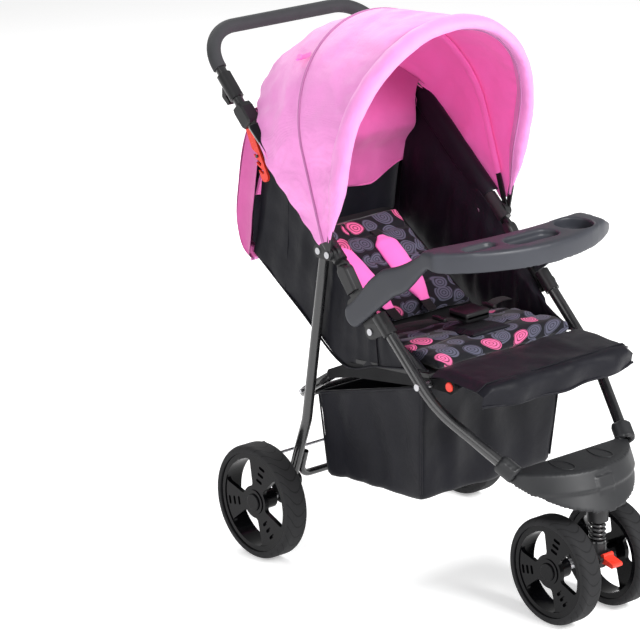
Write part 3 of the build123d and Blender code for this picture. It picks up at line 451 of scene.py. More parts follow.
def printed_cloth(name, colours, turn, top):
    """Black cloth printed all over with round rosettes of thin rings, laid over the edges of a pad."""
    ground = tuple(colours.tub)
    finish, shader = start_finish(name, ground, 0.8)
    place = object_place(finish, turn)
    axes = add_node(finish, "ShaderNodeSeparateXYZ", {"Vector": place})
    down = math_node(finish, "SUBTRACT", axes.outputs["Z"], top)
    side = math_node(finish, "MULTIPLY", math_node(finish, "SIGN", axes.outputs["X"]), down)
    flat_x = math_node(finish, "SUBTRACT", axes.outputs["X"], side)
    flat_y = math_node(finish, "ADD", axes.outputs["Y"], down)
    flat = add_node(finish, "ShaderNodeCombineXYZ", {"X": flat_x, "Y": flat_y})
    cells = add_node(finish, "ShaderNodeTexVoronoi", {"Vector": flat.outputs["Vector"], "Scale": 23.5,
                                                      "Randomness": 0.42}, voronoi_dimensions="2D")
    far = cells.outputs["Distance"]
    chance = add_node(finish, "ShaderNodeSeparateColor", {"Color": cells.outputs["Color"]})
    size = spread(finish, chance.outputs["Green"], 0.0, 1.0, 0.38, 0.50)
    inside = math_node(finish, "LESS_THAN", far, size)
    rings = math_node(finish, "SINE", math_node(finish, "MULTIPLY", far, 46.0))
    ink = spread(finish, rings, -0.9, -0.1, 0.18, 1.0)
    motif = math_node(finish, "MULTIPLY", inside, ink)
    warm = math_node(finish, "GREATER_THAN", chance.outputs["Red"], 0.72)
    tint = two_tone(finish, warm, tuple(colours.print_cool), tuple(colours.print_warm))
    colour = add_node(finish, "ShaderNodeMix", {0: motif, 6: (*ground, 1.0), 7: tint}, data_type="RGBA")
    join(finish, colour.outputs[2], shader.inputs["Base Color"])
    threads = weave_height(finish, place, 0.0015)
    slack = noise_field(finish, place, 30.0, 5.0)
    height = math_node(finish, "ADD", math_node(finish, "MULTIPLY", threads, 0.12), slack)
    bump(finish, shader, height, 0.2, 0.003)
    shader.inputs["Specular IOR Level"].default_value = 0.22
    shader.inputs["Sheen Weight"].default_value = 0.12
    shader.inputs["Sheen Roughness"].default_value = 0.45
    return finish


def tread(name, centre, radius):
    """Foam tyre: bowed grooves across the tread, painted darker inside as painted shade."""
    colour = (0.013, 0.013, 0.014)
    finish, shader = start_finish(name, colour, 0.75)
    place = object_place(finish, shift=-centre)
    axes = add_node(finish, "ShaderNodeSeparateXYZ", {"Vector": place})
    x, y, z = (axes.outputs[k] for k in "XYZ")
    turn = math_node(finish, "ARCTAN2", z, y)
    bow = math_node(finish, "MULTIPLY", math_node(finish, "MULTIPLY", x, x), 2400.0)
    steps = math_node(finish, "ADD", math_node(finish, "MULTIPLY", turn, 30.0 / (2 * pi)), bow)
    groove = math_node(finish, "LESS_THAN", math_node(finish, "FRACT", steps), 0.14)
    y_square, z_square = (math_node(finish, "MULTIPLY", axis, axis) for axis in (y, z))
    square = math_node(finish, "ADD", y_square, z_square)
    outer = math_node(finish, "GREATER_THAN", square, (radius - 0.008) ** 2)
    cut = math_node(finish, "MULTIPLY", groove, outer)
    # Painted shade: the grooves are painted at half the tyre's colour, the rest a little lighter.
    join(finish, two_tone(finish, cut, shade(colour, 1.2), shade(colour, 0.6)), shader.inputs["Base Color"])
    grit = noise_field(finish, place, 300.0)
    height = math_node(finish, "SUBTRACT", math_node(finish, "MULTIPLY", grit, 0.15), cut)
    bump(finish, shader, height, 0.55, 0.002)
    shader.inputs["Specular IOR Level"].default_value = 0.2
    return finish


# Meshes


def deselect():
    if bpy.context.object and bpy.context.object.mode != "OBJECT":
        bpy.ops.object.mode_set(mode="OBJECT")
    bpy.ops.object.select_all(action="DESELECT")


def pick(piece):
    """Makes a piece the only one selected, and active."""
    deselect()
    piece.select_set(True)
    bpy.context.view_layer.objects.active = piece


def apply_modifiers(piece):
    pick(piece)
    for modifier in list(piece.modifiers):
        bpy.ops.object.modifier_apply(modifier=modifier.name)


def give(piece, *finishes):
    """Gives a piece its finishes and no others."""
    piece.data.materials.clear()
    for finish in finishes:
        piece.data.materials.append(finish)


def link_mesh(name, verts, faces):
    """A new piece from its points and faces."""
    mesh = bpy.data.meshes.new(name)
    mesh.from_pydata([tuple(v) for v in verts], [], faces)
    mesh.update()
    piece = bpy.data.objects.new(name, mesh)
    bpy.context.collection.objects.link(piece)
    return piece


def area_of(piece):
    return sum(face.area for face in piece.data.polygons)


def push(piece, depth_at):
    """Moves each point of a piece along its normal, as far as a function of the point says."""
    shifts = [vert.normal * depth_at(vert) for vert in piece.data.vertices]
    for vert, shift in zip(piece.data.vertices, shifts):
        vert.co += shift
    piece.data.update()


def crumple(piece, size, depth, stretch=(1.0, 1.0, 1.0)):
    """Soft creases: each point moves along its normal by a smooth field."""

    def crease(vert):
        where = Vector([vert.co[k] * size * stretch[k] for k in range(3)])
        return depth * noise.noise(where)

    push(piece, crease)


def add_smoothing(piece):
    """Adds one level of smoothing, the same in view and render."""
    smooth = piece.modifiers.new("smooth", "SUBSURF")
    smooth.levels = 1
    smooth.render_levels = 1


def grid(rows, columns, point):
    """Rows of points for a panel, each from its share across and its share down."""
    return [[point(c / (columns - 1), r / (rows - 1)) for c in range(columns)] for r in range(rows)]


def panel(name, rows, thick, finishes, loop=False, creases=()):
    """A cloth panel from rows of points, creased, thickened and smoothed. Returns it and its cut area."""
    width = len(rows[0])
    faces = []
    for r in range(len(rows) - 1):
        for c in range(width if loop else width - 1):
            d = (c + 1) % width
            faces.append((r * width + c, r * width + d, (r + 1) * width + d, (r + 1) * width + c))
    piece = link_mesh(name, [p for row in rows for p in row], faces)
    for crease in creases:
        crumple(piece, *crease)
    area = area_of(piece)
    give(piece, *finishes)
    wall = piece.modifiers.new("wall", "SOLIDIFY")
    wall.thickness = thick
    wall.offset = 0.0
    if len(finishes) > 1:
        wall.material_offset = 1
    add_smoothing(piece)
    apply_modifiers(piece)
    bpy.ops.object.shade_smooth()
    return piece, area


def cord_mesh(name, points, radius, finish, loop=False):
    """Piping: a round tube through some points."""
    deselect()
    curve = bpy.data.curves.new(name, "CURVE")
    curve.dimensions = "3D"
    curve.bevel_depth = radius
    curve.bevel_resolution = 2
    curve.use_fill_caps = True
    line = curve.splines.new("POLY")
    line.points.add(len(points) - 1)
    for target, point in zip(line.points, points):
        target.co = (*point, 1.0)
    line.use_cyclic_u = loop
    piece = bpy.data.objects.new(name, curve)
    bpy.context.collection.objects.link(piece)
    pick(piece)
    bpy.ops.object.convert(target="MESH")
    give(piece, finish)
    bpy.ops.object.shade_smooth()
    return piece


def face_out(piece):
    """Turns a closed mesh's faces outwards."""
    pick(piece)
    bpy.ops.object.mode_set(mode="EDIT")
    bpy.ops.mesh.select_all(action="SELECT")
    bpy.ops.mesh.normals_make_consistent(inside=False)
    bpy.ops.object.mode_set(mode="OBJECT")
    bpy.ops.object.shade_smooth()


def roll(name, line, face, radii, finish, lengths=96, creases=()):
    """A stuffed roll: oval rings along a line, as wide along one way and as thick across it as asked."""
    count = 20
    verts = []
    for i in range(lengths + 1):
        share = i / lengths
        way = line(min(share + 0.004, 1.0)) - line(max(share - 0.004, 0.0))
        out = way.cross(face).normalized()
        wide, thick = radii(share)
        for k in range(count):
            turn = 2 * pi * k / count
            verts.append(line(share) + face * (wide * cos(turn)) + out * (thick * sin(turn)))
    faces = []
    for r in range(lengths):
        for k in range(count):
            j = (k + 1) % count
            faces.append((r * count + k, r * count + j, (r + 1) * count + j, (r + 1) * count + k))
    faces.append(tuple(reversed(range(count))))
    faces.append(tuple(range(lengths * count, (lengths + 1) * count)))
    piece = link_mesh(name, verts, faces)
    for crease in creases:
        crumple(piece, *crease)
    give(piece, finish)
    add_smoothing(piece)
    apply_modifiers(piece)
    face_out(piece)
    return piece


def ribbon(name, points, across, thick, finish):
    """Webbing laid along some points, with the way across it at each."""
    rows = [[p - a / 2, p - a / 6, p + a / 6, p + a / 2] for p, a in zip(points, across)]
    return panel(name, rows, thick, [finish])


def puff(piece, cap):
    """Blows a closed pad up as cloth and keeps each point within a cap of where it was."""
    scene = bpy.context.scene
    steps = 20
    before = [v.co.copy() for v in piece.data.vertices]
    sim = piece.modifiers.new("puff", "CLOTH")
    sim.settings.use_pressure = True
    sim.settings.uniform_pressure_force = 4.0
    sim.settings.effector_weights.gravity = 0.0
    sim.settings.quality = 4
    sim.point_cache.frame_start = 1
    sim.point_cache.frame_end = steps
    for step in range(1, steps + 1):
        scene.frame_set(step)
    graph = bpy.context.evaluated_depsgraph_get()
    swollen = piece.evaluated_get(graph).data
    after = [v.co.copy() for v in swollen.vertices]
    piece.modifiers.remove(sim)
    scene.frame_set(1)
    for vert, old, new in zip(piece.data.vertices, before, after):
        step = new - old
        if step.length > cap:
            step = step.normalized() * cap
        vert.co = old + step
    piece.data.update()


def even_copy(name, node, voxel, filler=None):
    """A copy of a solid, with a filler block if asked, on an even grid of small faces."""
    piece = frame["nodes"][node].copy()
    piece.data = piece.data.copy()
    piece.name = name
    piece.parent = None
    bpy.context.collection.objects.link(piece)
    piece.matrix_world = Matrix.Identity(4)
    for key in list(piece.keys()):
        del piece[key]
    pick(piece)
    if filler:
        filler.select_set(True)
        bpy.ops.object.join()
    bpy.ops.object.mode_set(mode="EDIT")
    bpy.ops.mesh.select_all(action="SELECT")
    bpy.ops.mesh.remove_doubles(threshold=0.00005)
    bpy.ops.object.mode_set(mode="OBJECT")
    grid = piece.modifiers.new("grid", "REMESH")
    grid.mode = "VOXEL"
    grid.voxel_size = voxel
    apply_modifiers(piece)
    return piece


def groove(piece, out, way, places, depth, half):
    """Sewn channels: lines pressed into the side of a pad that faces out, at places along a way."""

    def channel(vert):
        press = 0.0
        if vert.normal.dot(out) > 0.35:
            for place in places:
                off = (vert.co.dot(way) - place) / half
                press = max(press, depth * max(0.0, 1 - off * off) ** 2)
        return -press

    push(piece, channel)


def draw_in(piece, way, low, high, depth):
    """Pulls a pad's sides in between its corners."""
    for vert in piece.data.vertices:
        share = min(max((vert.co.dot(way) - low) / (high - low), 0.0), 1.0)
        vert.co.x *= 1 - depth * sin(pi * share)
    piece.data.update()


def pad_from_node(name, node, finish, voxel, shrink, cap):
    """A stuffed pad in the place of a solid: remeshed, drawn in, blown up and smoothed."""
    piece = even_copy(name, node, voxel)
    for vert in piece.data.vertices:
        vert.co -= vert.normal * shrink
    piece.data.update()
    puff(piece, cap)
    add_smoothing(piece)
    apply_modifiers(piece)
    give(piece, finish)
    bpy.ops.object.shade_smooth()
    return piece


def pad_top(node, slope):
    """How high a pad's face stands, measured square to its slope."""
    turn = radians(slope)
    heights = [v.co.y * sin(turn) + v.co.z * cos(turn) for v in frame["nodes"][node].data.vertices]
    return max(heights) - 0.006


def arch_point(angle, reach, half, start, share):
    """A point of a canopy arch, from its left foot over the top to its right foot."""
    rise = reach - half
    leg = rise - start
    arc = pi * half
    way = share * (2 * leg + arc)
    if way < leg:
        return reach_point(half, angle, start + way)
    if way < leg + arc:
        turn = (way - leg) / half
        return reach_point(half * cos(turn), angle, rise + half * sin(turn))
    return reach_point(-half, angle, rise - (way - leg - arc))


def arch_line(angle, reach, half, start):
    """Points along a canopy arch, from foot to foot."""
    return [arch_point(angle, reach, half, start, c / ARCH_STEPS) for c in range(ARCH_STEPS + 1)]


def crown_reach(x):
    """How far the canopy's rear edge stands from the hub at a side place."""
    return REAR_REACH - CLOTH_HALF + sqrt(CLOTH_HALF**2 - x * x)


def wrinkle(place, size, depth, share):
    """How far slack cloth stands off between two seams: broad waves with sharper lines between them."""
    waves = noise.noise(place * size)
    lines = abs(noise.noise(place * (size * 1.7) + Vector((3.1, 0.7, 1.9))))
    return depth * (waves - 0.9 * lines) * sqrt(sin(pi * min(share, 0.999)))


def block(name, place, size):
    """A plain block at its place, to be shaped further."""
    deselect()
    bpy.ops.mesh.primitive_cube_add(size=1.0, location=place, scale=size)
    piece = bpy.context.object
    piece.name = name
    bpy.ops.object.transform_apply(location=True, rotation=True, scale=True)
    return piece


def round_edges(piece, width):
    """Rounds the edges of a block and shades it smooth."""
    edges = piece.modifiers.new("round", "BEVEL")
    edges.width = width
    edges.segments = 3
    apply_modifiers(piece)
    bpy.ops.object.shade_smooth_by_angle(angle=radians(40))


def ease_shell(piece, rounds, group=""):
    """Softens a moulded shell, by the weights of a group if one is named."""
    easing = piece.modifiers.new("easing", "SMOOTH")
    easing.factor = 0.5
    easing.iterations = rounds
    easing.vertex_group = group
    apply_modifiers(piece)


def finish_of(name):
    """A finish that was made before."""
    return bpy.data.materials[name]


class STROLLER_OT_finishes(bpy.types.Operator):
    """Makes the finishes and gives each hard part its own"""
    bl_idname = "stroller.finishes"
    bl_label = "Finishes"

    def execute(self, context):
        colours = context.scene.stroller_colours
        by_slot = {
            "frame_black": enamel("frame_enamel", (0.010, 0.010, 0.011), 0.22),
            "steel": steel("rivet_steel"),
            "spring_steel": enamel("spring_coating", (0.016, 0.016, 0.017), 0.35),
            "black_plastic": moulding("joint_moulding", (0.010, 0.010, 0.011), 0.40),
            "footrest_plastic": moulding("footrest_moulding", (0.015, 0.0155, 0.017), 0.48, 900.0, 0.2,
                                         0.35),
            "tray_plastic": moulding("tray_moulding", tuple(colours.tray), 0.46, 1000.0, 0.16, 0.35),
            "red_plastic": moulding("red_moulding", tuple(colours.accent), 0.3, 900.0, 0.04),
            "rim_plastic": moulding("rim_moulding", (0.0025, 0.0025, 0.0032), 0.16, 700.0, 0.03, 0.12),
            "foam_grip": foam("grip_foam", (0.030, 0.031, 0.034)),
        }
        cloth("canopy_cloth", tuple(colours.canopy), relief=0.7, tone=0.09, roughness=0.6, gloss=0.3,
              folds=8.0)
        lining = cloth("lining_cloth", tuple(colours.lining), relief=0.4, tone=0.1, folds=5.0)
        # Painted light: the lining glows faintly pink, standing in for light shining through the cloth.
        lining_painted_glow = lining.node_tree.nodes["Principled BSDF"].inputs
        lining_painted_glow["Emission Color"].default_value = (*colours.lining, 1.0)
        lining_painted_glow["Emission Strength"].default_value = 0.16
        # Painted shade: a copy of the lining painted 0.62 times as bright and without its glow, for the flap, the
        # gussets and the back panel.
        cloth("pink_cloth_painted_shade", shade(tuple(colours.lining), 0.62), relief=0.5, tone=0.12, folds=6.0)
        cloth("piping_cloth", shade(tuple(colours.canopy), 0.55), relief=0.1, tone=0.05)
        cloth("tub_cloth", tuple(colours.tub), relief=0.35, tone=0.3, sheen=0.03, roughness=0.5, gloss=0.18,
              folds=4.0)
        cloth("webbing", (0.010, 0.010, 0.011), pitch=0.003, relief=0.3, tone=0.2, sheen=0.08)
        printed_cloth("seat_print", colours, (SEAT_SLOPE, 0.0, 0.0), pad_top("seat_pad", SEAT_SLOPE))
        printed_cloth("back_print", colours, (-BACK_SLOPE, 0.0, 0.0), pad_top("backrest_pad", -BACK_SLOPE))
        for entry in frame["record"]["subparts"]:
            finish = by_slot.get(entry["material_slot"])
            if finish:
                give(frame["nodes"][entry["node"]], finish)
        coating = moulding("bar_coating", (0.006, 0.006, 0.007), 0.6, 900.0, 0.1, 0.15)
        give(frame["nodes"]["seat_side_bars"], coating)
        return {"FINISHED"}


class STROLLER_OT_tyres(bpy.types.Operator):
    """Gives each tyre its grooved tread, centred on its own axle"""
    bl_idname = "stroller.tyres"
    bl_label = "Tyres"

    def execute(self, context):
        for end in ("front", "rear"):
            for side in ("left", "right"):
                low, high = (Vector(corner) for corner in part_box(f"{end}_wheel_tyre_{side}"))
                centre = (low + high) / 2
                finish = tread(f"{end}_tread_{side}", centre, (high.z - low.z) / 2)
                give(frame["nodes"][f"{end}_wheel_tyre_{side}"], finish)
        return {"FINISHED"}


class STROLLER_OT_canopy(bpy.types.Operator):
    """Builds the canopy's two cloth fields and the corner pieces that close them to the handle tubes"""
    bl_idname = "stroller.canopy"
    bl_label = "Canopy"

    def execute(self, context):
        sizes = context.scene.stroller_sizes
        outer, inner = finish_of("canopy_cloth"), finish_of("lining_cloth")

        def rear_point(across, share):
            top = 1 - abs(2 * across - 1)
            edge = mix(TUBE_ANGLE, CROWN_ANGLE, ease((top - 0.3) / 0.25))
            angle = mix(SEAM_ANGLE + 0.25, edge, share)
            reach = mix(SEAM_REACH, REAR_REACH, share) + sizes.sag * sin(pi * share)
            gather = 0.0024 * sin(across * 150.0 + 4 * share) * share * share
            flat = arch_point(angle, reach, CLOTH_HALF, ARCH_START, across)
            gather += wrinkle(flat, 9.0, 0.011, share)
            return arch_point(angle, reach + gather, CLOTH_HALF + 0.7 * gather, ARCH_START, across)

        def front_point(across, share):
            angle = mix(SEAM_ANGLE - 0.25, BRIM_ANGLE + 1.5, share)
            dip = sizes.sag * sin(pi * share)
            sides = ease((abs(2 * across - 1) - 0.25) / 0.4)
            gather = 0.0017 * sin(across * 230.0 + 2 * share) * ease((share - 0.5) / 0.4) * sides
            reach = mix(SEAM_REACH, BRIM_REACH, share) - dip
            flat = arch_point(angle, reach, CLOTH_HALF, ARCH_START, across)
            gather += wrinkle(flat, 8.0, 0.008, share)
            return arch_point(angle, reach + gather, CLOTH_HALF - 0.35 * dip + gather, ARCH_START, across)

        rows = grid(25, 145, rear_point)
        rear, rear_area = panel("canopy_rear_cloth", rows, sizes.cloth, [inner, outer])
        rows = grid(25, 145, front_point)
        front, front_area = panel("canopy_front_cloth", rows, sizes.cloth, [outer, inner])

        for side, sign in SIDES:

            def corner_point(across, share):
                x = mix(*CORNER_HALF, share)
                high = reach_point(x, CROWN_ANGLE + 0.6, crown_reach(x) - 0.003)
                low = reach_point(x, TUBE_MIDDLE, mix(0.336, 0.222, share))
                low += TUBE_NORMAL * (0.006 + 0.009 * sin(pi * share))
                place = high.lerp(low, across)
                return Vector((sign * place.x, place.y, place.z))

            corner, area = panel(f"canopy_corner_{side}", grid(17, 9, corner_point), sizes.cloth, [inner],
                                 creases=CREASES["corner"])
            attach(corner, "upper_frame")

        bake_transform(rear)
        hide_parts("canopy_rear_panel")
        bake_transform(front)
        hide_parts("canopy_front_panel")
        return {"FINISHED"}


def facing(angle):
    """The way from an arch of the canopy towards the next one behind it."""
    return Vector((0.0, -sin(radians(angle)), -cos(radians(angle))))


def brim_taper(across):
    """How full the brim is along its run: slim at its two feet."""
    return 0.22 + 0.78 * ease(min(across, 1 - across) / 0.11)


class STROLLER_OT_brim(bpy.types.Operator):
    """Builds the padded brim with its welts, and the piping, sleeve and tab at the middle bow"""
    bl_idname = "stroller.brim"
    bl_label = "Brim and piping"

    def execute(self, context):
        sizes = context.scene.stroller_sizes
        outer, inner, trim = (finish_of(name) for name in ("canopy_cloth", "lining_cloth", "piping_cloth"))

        seam = arch_line(SEAM_ANGLE, SEAM_REACH + 0.0012, CLOTH_HALF + 0.0012, ARCH_START)
        piping = cord_mesh("canopy_seam_piping", seam, sizes.piping * 1.2, trim)

        def bow_line(across):
            return arch_point(SEAM_ANGLE, *BOW_ARCH, across)

        sleeve = roll("mid_bow_sleeve", bow_line, facing(SEAM_ANGLE), lambda across: (0.0088, 0.0040), inner,
                      creases=CREASES["sleeve"])

        def brim_line(across):
            return arch_point(BRIM_ANGLE, *BRIM_ARCH, across)

        def brim_radii(across):
            taper = brim_taper(across)
            pucker = 1 + 0.02 * sin(across * 210.0)
            return sizes.brim_wide / 2 * taper * pucker, sizes.brim_thick / 2 * taper

        brim = roll("canopy_brim_roll", brim_line, facing(BRIM_ANGLE), brim_radii, outer, 120, CREASES["brim"])
        seam = arch_line(BRIM_ANGLE + 3.2, *STITCH_ARCH)
        stitch = cord_mesh("brim_seam", seam, sizes.piping * 0.7, trim)
        edge = []
        for c in range(ARCH_STEPS + 1):
            share = c / ARCH_STEPS
            inset = (sizes.brim_thick / 2 + 0.0004) * brim_taper(share)
            edge.append(arch_point(BRIM_ANGLE - 0.6, BRIM_ARCH[0] - inset, BRIM_ARCH[1] - inset, WELT_START,
                                   share))
        welt = cord_mesh("brim_welt", edge, sizes.piping * 0.8, trim)

        loop = []
        for k in range(17):
            turn = pi * k / 16
            stand = 0.004 + 0.014 * sin(turn / 2) ** 2
            loop.append(arch_point(SEAM_ANGLE + 1.0 + 4.4 * sin(turn), SEAM_REACH + stand, CLOTH_HALF + stand,
                                   ARCH_START, 0.660 + 0.018 * k / 16))
        across = [Vector((0.0075, 0.0050, 0.0079))] * len(loop)
        tab, area = ribbon("canopy_tab", loop, across, 0.0012, inner)

        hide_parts("canopy_brim")
        for piece in (piping, sleeve, tab):
            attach(piece, "canopy_mid")
        for piece in (brim, stitch, welt):
            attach(piece, "canopy_front")
        return {"FINISHED"}


def crush_to_tubes(piece):
    """Gives cloth on the handle tubes its own mesh and hangs it on the upper frame, to move with it."""
    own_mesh(piece)
    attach(piece, "upper_frame")


def hang_to_legs(piece):
    """Bakes the place of cloth at the foot of the tubes into its mesh; it is hung on no moving part."""
    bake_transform(piece)


class STROLLER_OT_flap(bpy.types.Operator):
    """Builds the pink flap that closes the back under the canopy, and the gussets beside it"""
    bl_idname = "stroller.flap"
    bl_label = "Rear flap"

    def execute(self, context):
        sizes = context.scene.stroller_sizes

        def neck_point(across, down):
            x = mix(FLAP_HALF, -FLAP_HALF, across)
            top = reach_point(x, CROWN_ANGLE - 1.8, crown_reach(x) - 0.007)
            return top.lerp(spot(x, *FLAP_LINE[0]), down)

        def flap_point(across, down):
            x = mix(FLAP_HALF, -FLAP_HALF, across)
            ahead, up = along_line(FLAP_LINE, down)
            fold = 0.004 * sin(x * 46.0 + 2.2 * up) * ease(down * 2.25)
            return spot(x, ahead - fold, up)

        rows = grid(6, 41, neck_point)[:-1] + grid(19, 41, flap_point)
        flap, area = panel("rear_flap_cloth", rows, sizes.cloth, [finish_of("pink_cloth_painted_shade")],
                           creases=CREASES["flap"])
        hem = cord_mesh("rear_flap_hem", rows[-1], sizes.piping * 1.3, finish_of("canopy_cloth"))
        crush_to_tubes(flap)
        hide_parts("rear_flap")
        crush_to_tubes(hem)

        for side, sign in SIDES:

            def gusset_point(across, down):
                back, up = along_line(FLAP_LINE, mix(0.03, 0.93, down))
                front = TUBE_AHEAD - (up - HUB.z) / TUBE_RISE
                if up < 0.79:
                    (foot, low), (top, high) = TUB_FOOT[0], TUB_TOP[0]
                    front = min(front, mix(foot, top, (up - low) / (high - low)))
                x = mix(*GUSSET_HALF, across) - 0.004 * sin(pi * across)
                return spot(sign * x, mix(back + 0.003, max(front, back + 0.006), across), up)

            faces = [finish_of("pink_cloth_painted_shade"), finish_of("tub_cloth")]
            gusset, area = panel(f"tub_gusset_{side}", grid(17, 8, gusset_point), sizes.cloth, faces[::sign],
                                 creases=CREASES["gusset"])
            crush_to_tubes(gusset)
        return {"FINISHED"}


# The two fields of a tub wall: name, first column, column after the last, run, seam's column and how it moves
TUB_FIELDS = [("wall", 0, 49, 0.46, 11, crush_to_tubes), ("front", 48, 65, 0.14, 0, hang_to_legs)]


class STROLLER_OT_tub(bpy.types.Operator):
    """Builds the side walls of the black cloth tub, with hems and seams, and their laps over the tubes"""
    bl_idname = "stroller.tub"
    bl_label = "Cloth tub"

    def execute(self, context):
        sizes = context.scene.stroller_sizes
        black = finish_of("tub_cloth")
        for side, sign in SIDES:

            def wall_point(way, down):
                top, foot = along_line(TUB_TOP, way), along_line(TUB_FOOT, way)
                fold = 0.0042 * sin(pi * down) * sin(way * 34.0 + 2.0 * down)
                x = mix(*TUB_HALF, ease(down * 4.0)) - abs(fold)
                return spot(sign * x, mix(top[0], foot[0], down), mix(top[1], foot[1], down))

            rows = grid(19, 65, wall_point)
            for name, first, last, run, seam_column, follow in TUB_FIELDS:
                field = [row[first:last] for row in rows]
                wall, area = panel(f"tub_{name}_{side}", field, sizes.cloth, [black],
                                   creases=CREASES["tub"])
                hem = [p + Vector((sign * 0.0006, 0, 0)) for p in field[-1]]
                edge = cord_mesh(f"tub_hem_{name}_{side}", hem, sizes.piping, black)
                seam = [row[seam_column] + Vector((sign * 0.0014, 0, 0)) for row in field]
                line = cord_mesh(f"tub_seam_{name}_{side}", seam, sizes.piping * 0.6, black)
                for piece in (wall, edge, line):
                    follow(piece)
                if (name, side) == ("wall", "left"):
                    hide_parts("side_panels")

            rows = []
            for r in range(31):
                base = reach_point(0, TUBE_MIDDLE, mix(*LAP_REACH, r / 30))
                rows.append([Vector((sign * x, base.y, base.z)) + TUBE_NORMAL * lift for x, lift in TUBE_LAP])
            lap, area = panel(f"tub_lap_{side}", rows, sizes.cloth, [black], creases=CREASES["lap"])
            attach(lap, "upper_frame")
        return {"FINISHED"}


def head_wall_ahead(x, down):
    """How far ahead the head wall hangs at a side place, at a share of its way down from the rod."""
    sag = 0.010 * sin(pi * down) + 0.003 * sin(x * 60.0) * sin(pi * down)
    return mix(ROD_SPOT[0] - 0.005, HEAD_FOOT[0], down) - sag


def back_panel_place(x, share):
    """A point of the pink panel inside the back, from the canopy's crown over the rod down to its hem."""
    top = reach_point(x, CROWN_ANGLE - 2.4, crown_reach(x) - 0.009)
    neck = top.lerp(spot(x, -0.085, 0.852), ease((top.z - 0.850) / 0.04))
    brow = spot(x, -0.0575, 0.786)
    if share < 0.2:
        return top.lerp(neck, share / 0.2)
    if share < 0.45:
        return neck.lerp(brow, (share - 0.2) / 0.25)
    low = 0.648 + 0.034 * ease((abs(x) - 0.105) / 0.08) + 0.003 * sin(x * 40.0)
    up = mix(brow.z, low, (share - 0.45) / 0.55)
    down = min(max((ROD_SPOT[1] - up) / (ROD_SPOT[1] - HEAD_FOOT[1]), 0.0), 1.0)
    clear = 0.005 + 0.0093 * (1 - ease(down / 0.25))
    return spot(x, head_wall_ahead(x, down) + clear, up)


class STROLLER_OT_back(bpy.types.Operator):
    """Builds the pink panel that hangs inside the back, and the black wall at the head end behind it"""
    bl_idname = "stroller.back"
    bl_label = "Back walls"

    def execute(self, context):
        sizes = context.scene.stroller_sizes
        # The pink panel takes the lining's colour darkened as painted shade.
        pink, black = finish_of("pink_cloth_painted_shade"), finish_of("tub_cloth")

        def panel_point(across, down):
            half = mix(*BACK_HALF, ease(down * 28 / 13))
            return back_panel_place(mix(half, -half, across), down)

        def head_point(across, down):
            half = mix(*HEAD_HALF, ease(down * 2.2))
            x = mix(half, -half, across)
            return spot(x, head_wall_ahead(x, down), mix(ROD_SPOT[1], HEAD_FOOT[1], down))

        rows = grid(29, 49, panel_point)
        lining, area = panel("canopy_back_panel", rows, sizes.cloth, [pink], creases=CREASES["back_panel"])
        hem = cord_mesh("canopy_back_hem", rows[-1], sizes.piping * 0.9, pink)
        for piece in (lining, hem):
            crush_to_tubes(piece)

        head, area = panel("tub_head_wall", grid(15, 33, head_point), sizes.cloth, [black],
                           creases=CREASES["head_wall"])
        crush_to_tubes(head)
        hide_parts("head_panel")
        return {"FINISHED"}


def back_way():
    """The way up the backrest and the way out of its face."""
    rise = radians(180 - BACK_SLOPE)
    up_back = Vector((0.0, -cos(rise), sin(rise)))
    out = Vector((0.0, -sin(radians(BACK_SLOPE)), cos(radians(BACK_SLOPE))))
    return up_back, out


def shoulder_line(sign, s, lift):
    """A point on a shoulder belt: along the backrest from its pivot and out of its face."""
    up_back, out = back_way()
    place = BACK_PIVOT + up_back * s + out * lift
    place.x = sign * mix(0.040, 0.060, s / 0.26)
    return place


def shoulder_lift():
    """How far the middle of the shoulder pads stands out from the backrest's pivot line."""
    out = back_way()[1]
    heights = [(v.co - BACK_PIVOT).dot(out) for v in frame["nodes"]["shoulder_pads"].data.vertices]
    return (min(heights) + max(heights)) / 2


def channelled_pad(name, node, finish, way, out, places, crease):
    """A long stuffed pad, drawn in at its sides, with sewn channels across it at shares of its length."""
    pad = pad_from_node(name, node, finish, PAD_GRID, PAD_SHRINK, PAD_SWELL)
    lengths = [v.co.dot(way) for v in pad.data.vertices]
    low, high = min(lengths), max(lengths)
    draw_in(pad, way, low, high, 0.02)
    groove(pad, out, way, [mix(low, high, share) for share in places], CHANNEL_DEPTH, CHANNEL_HALF)
    crumple(pad, 20.0, crease)
    return pad


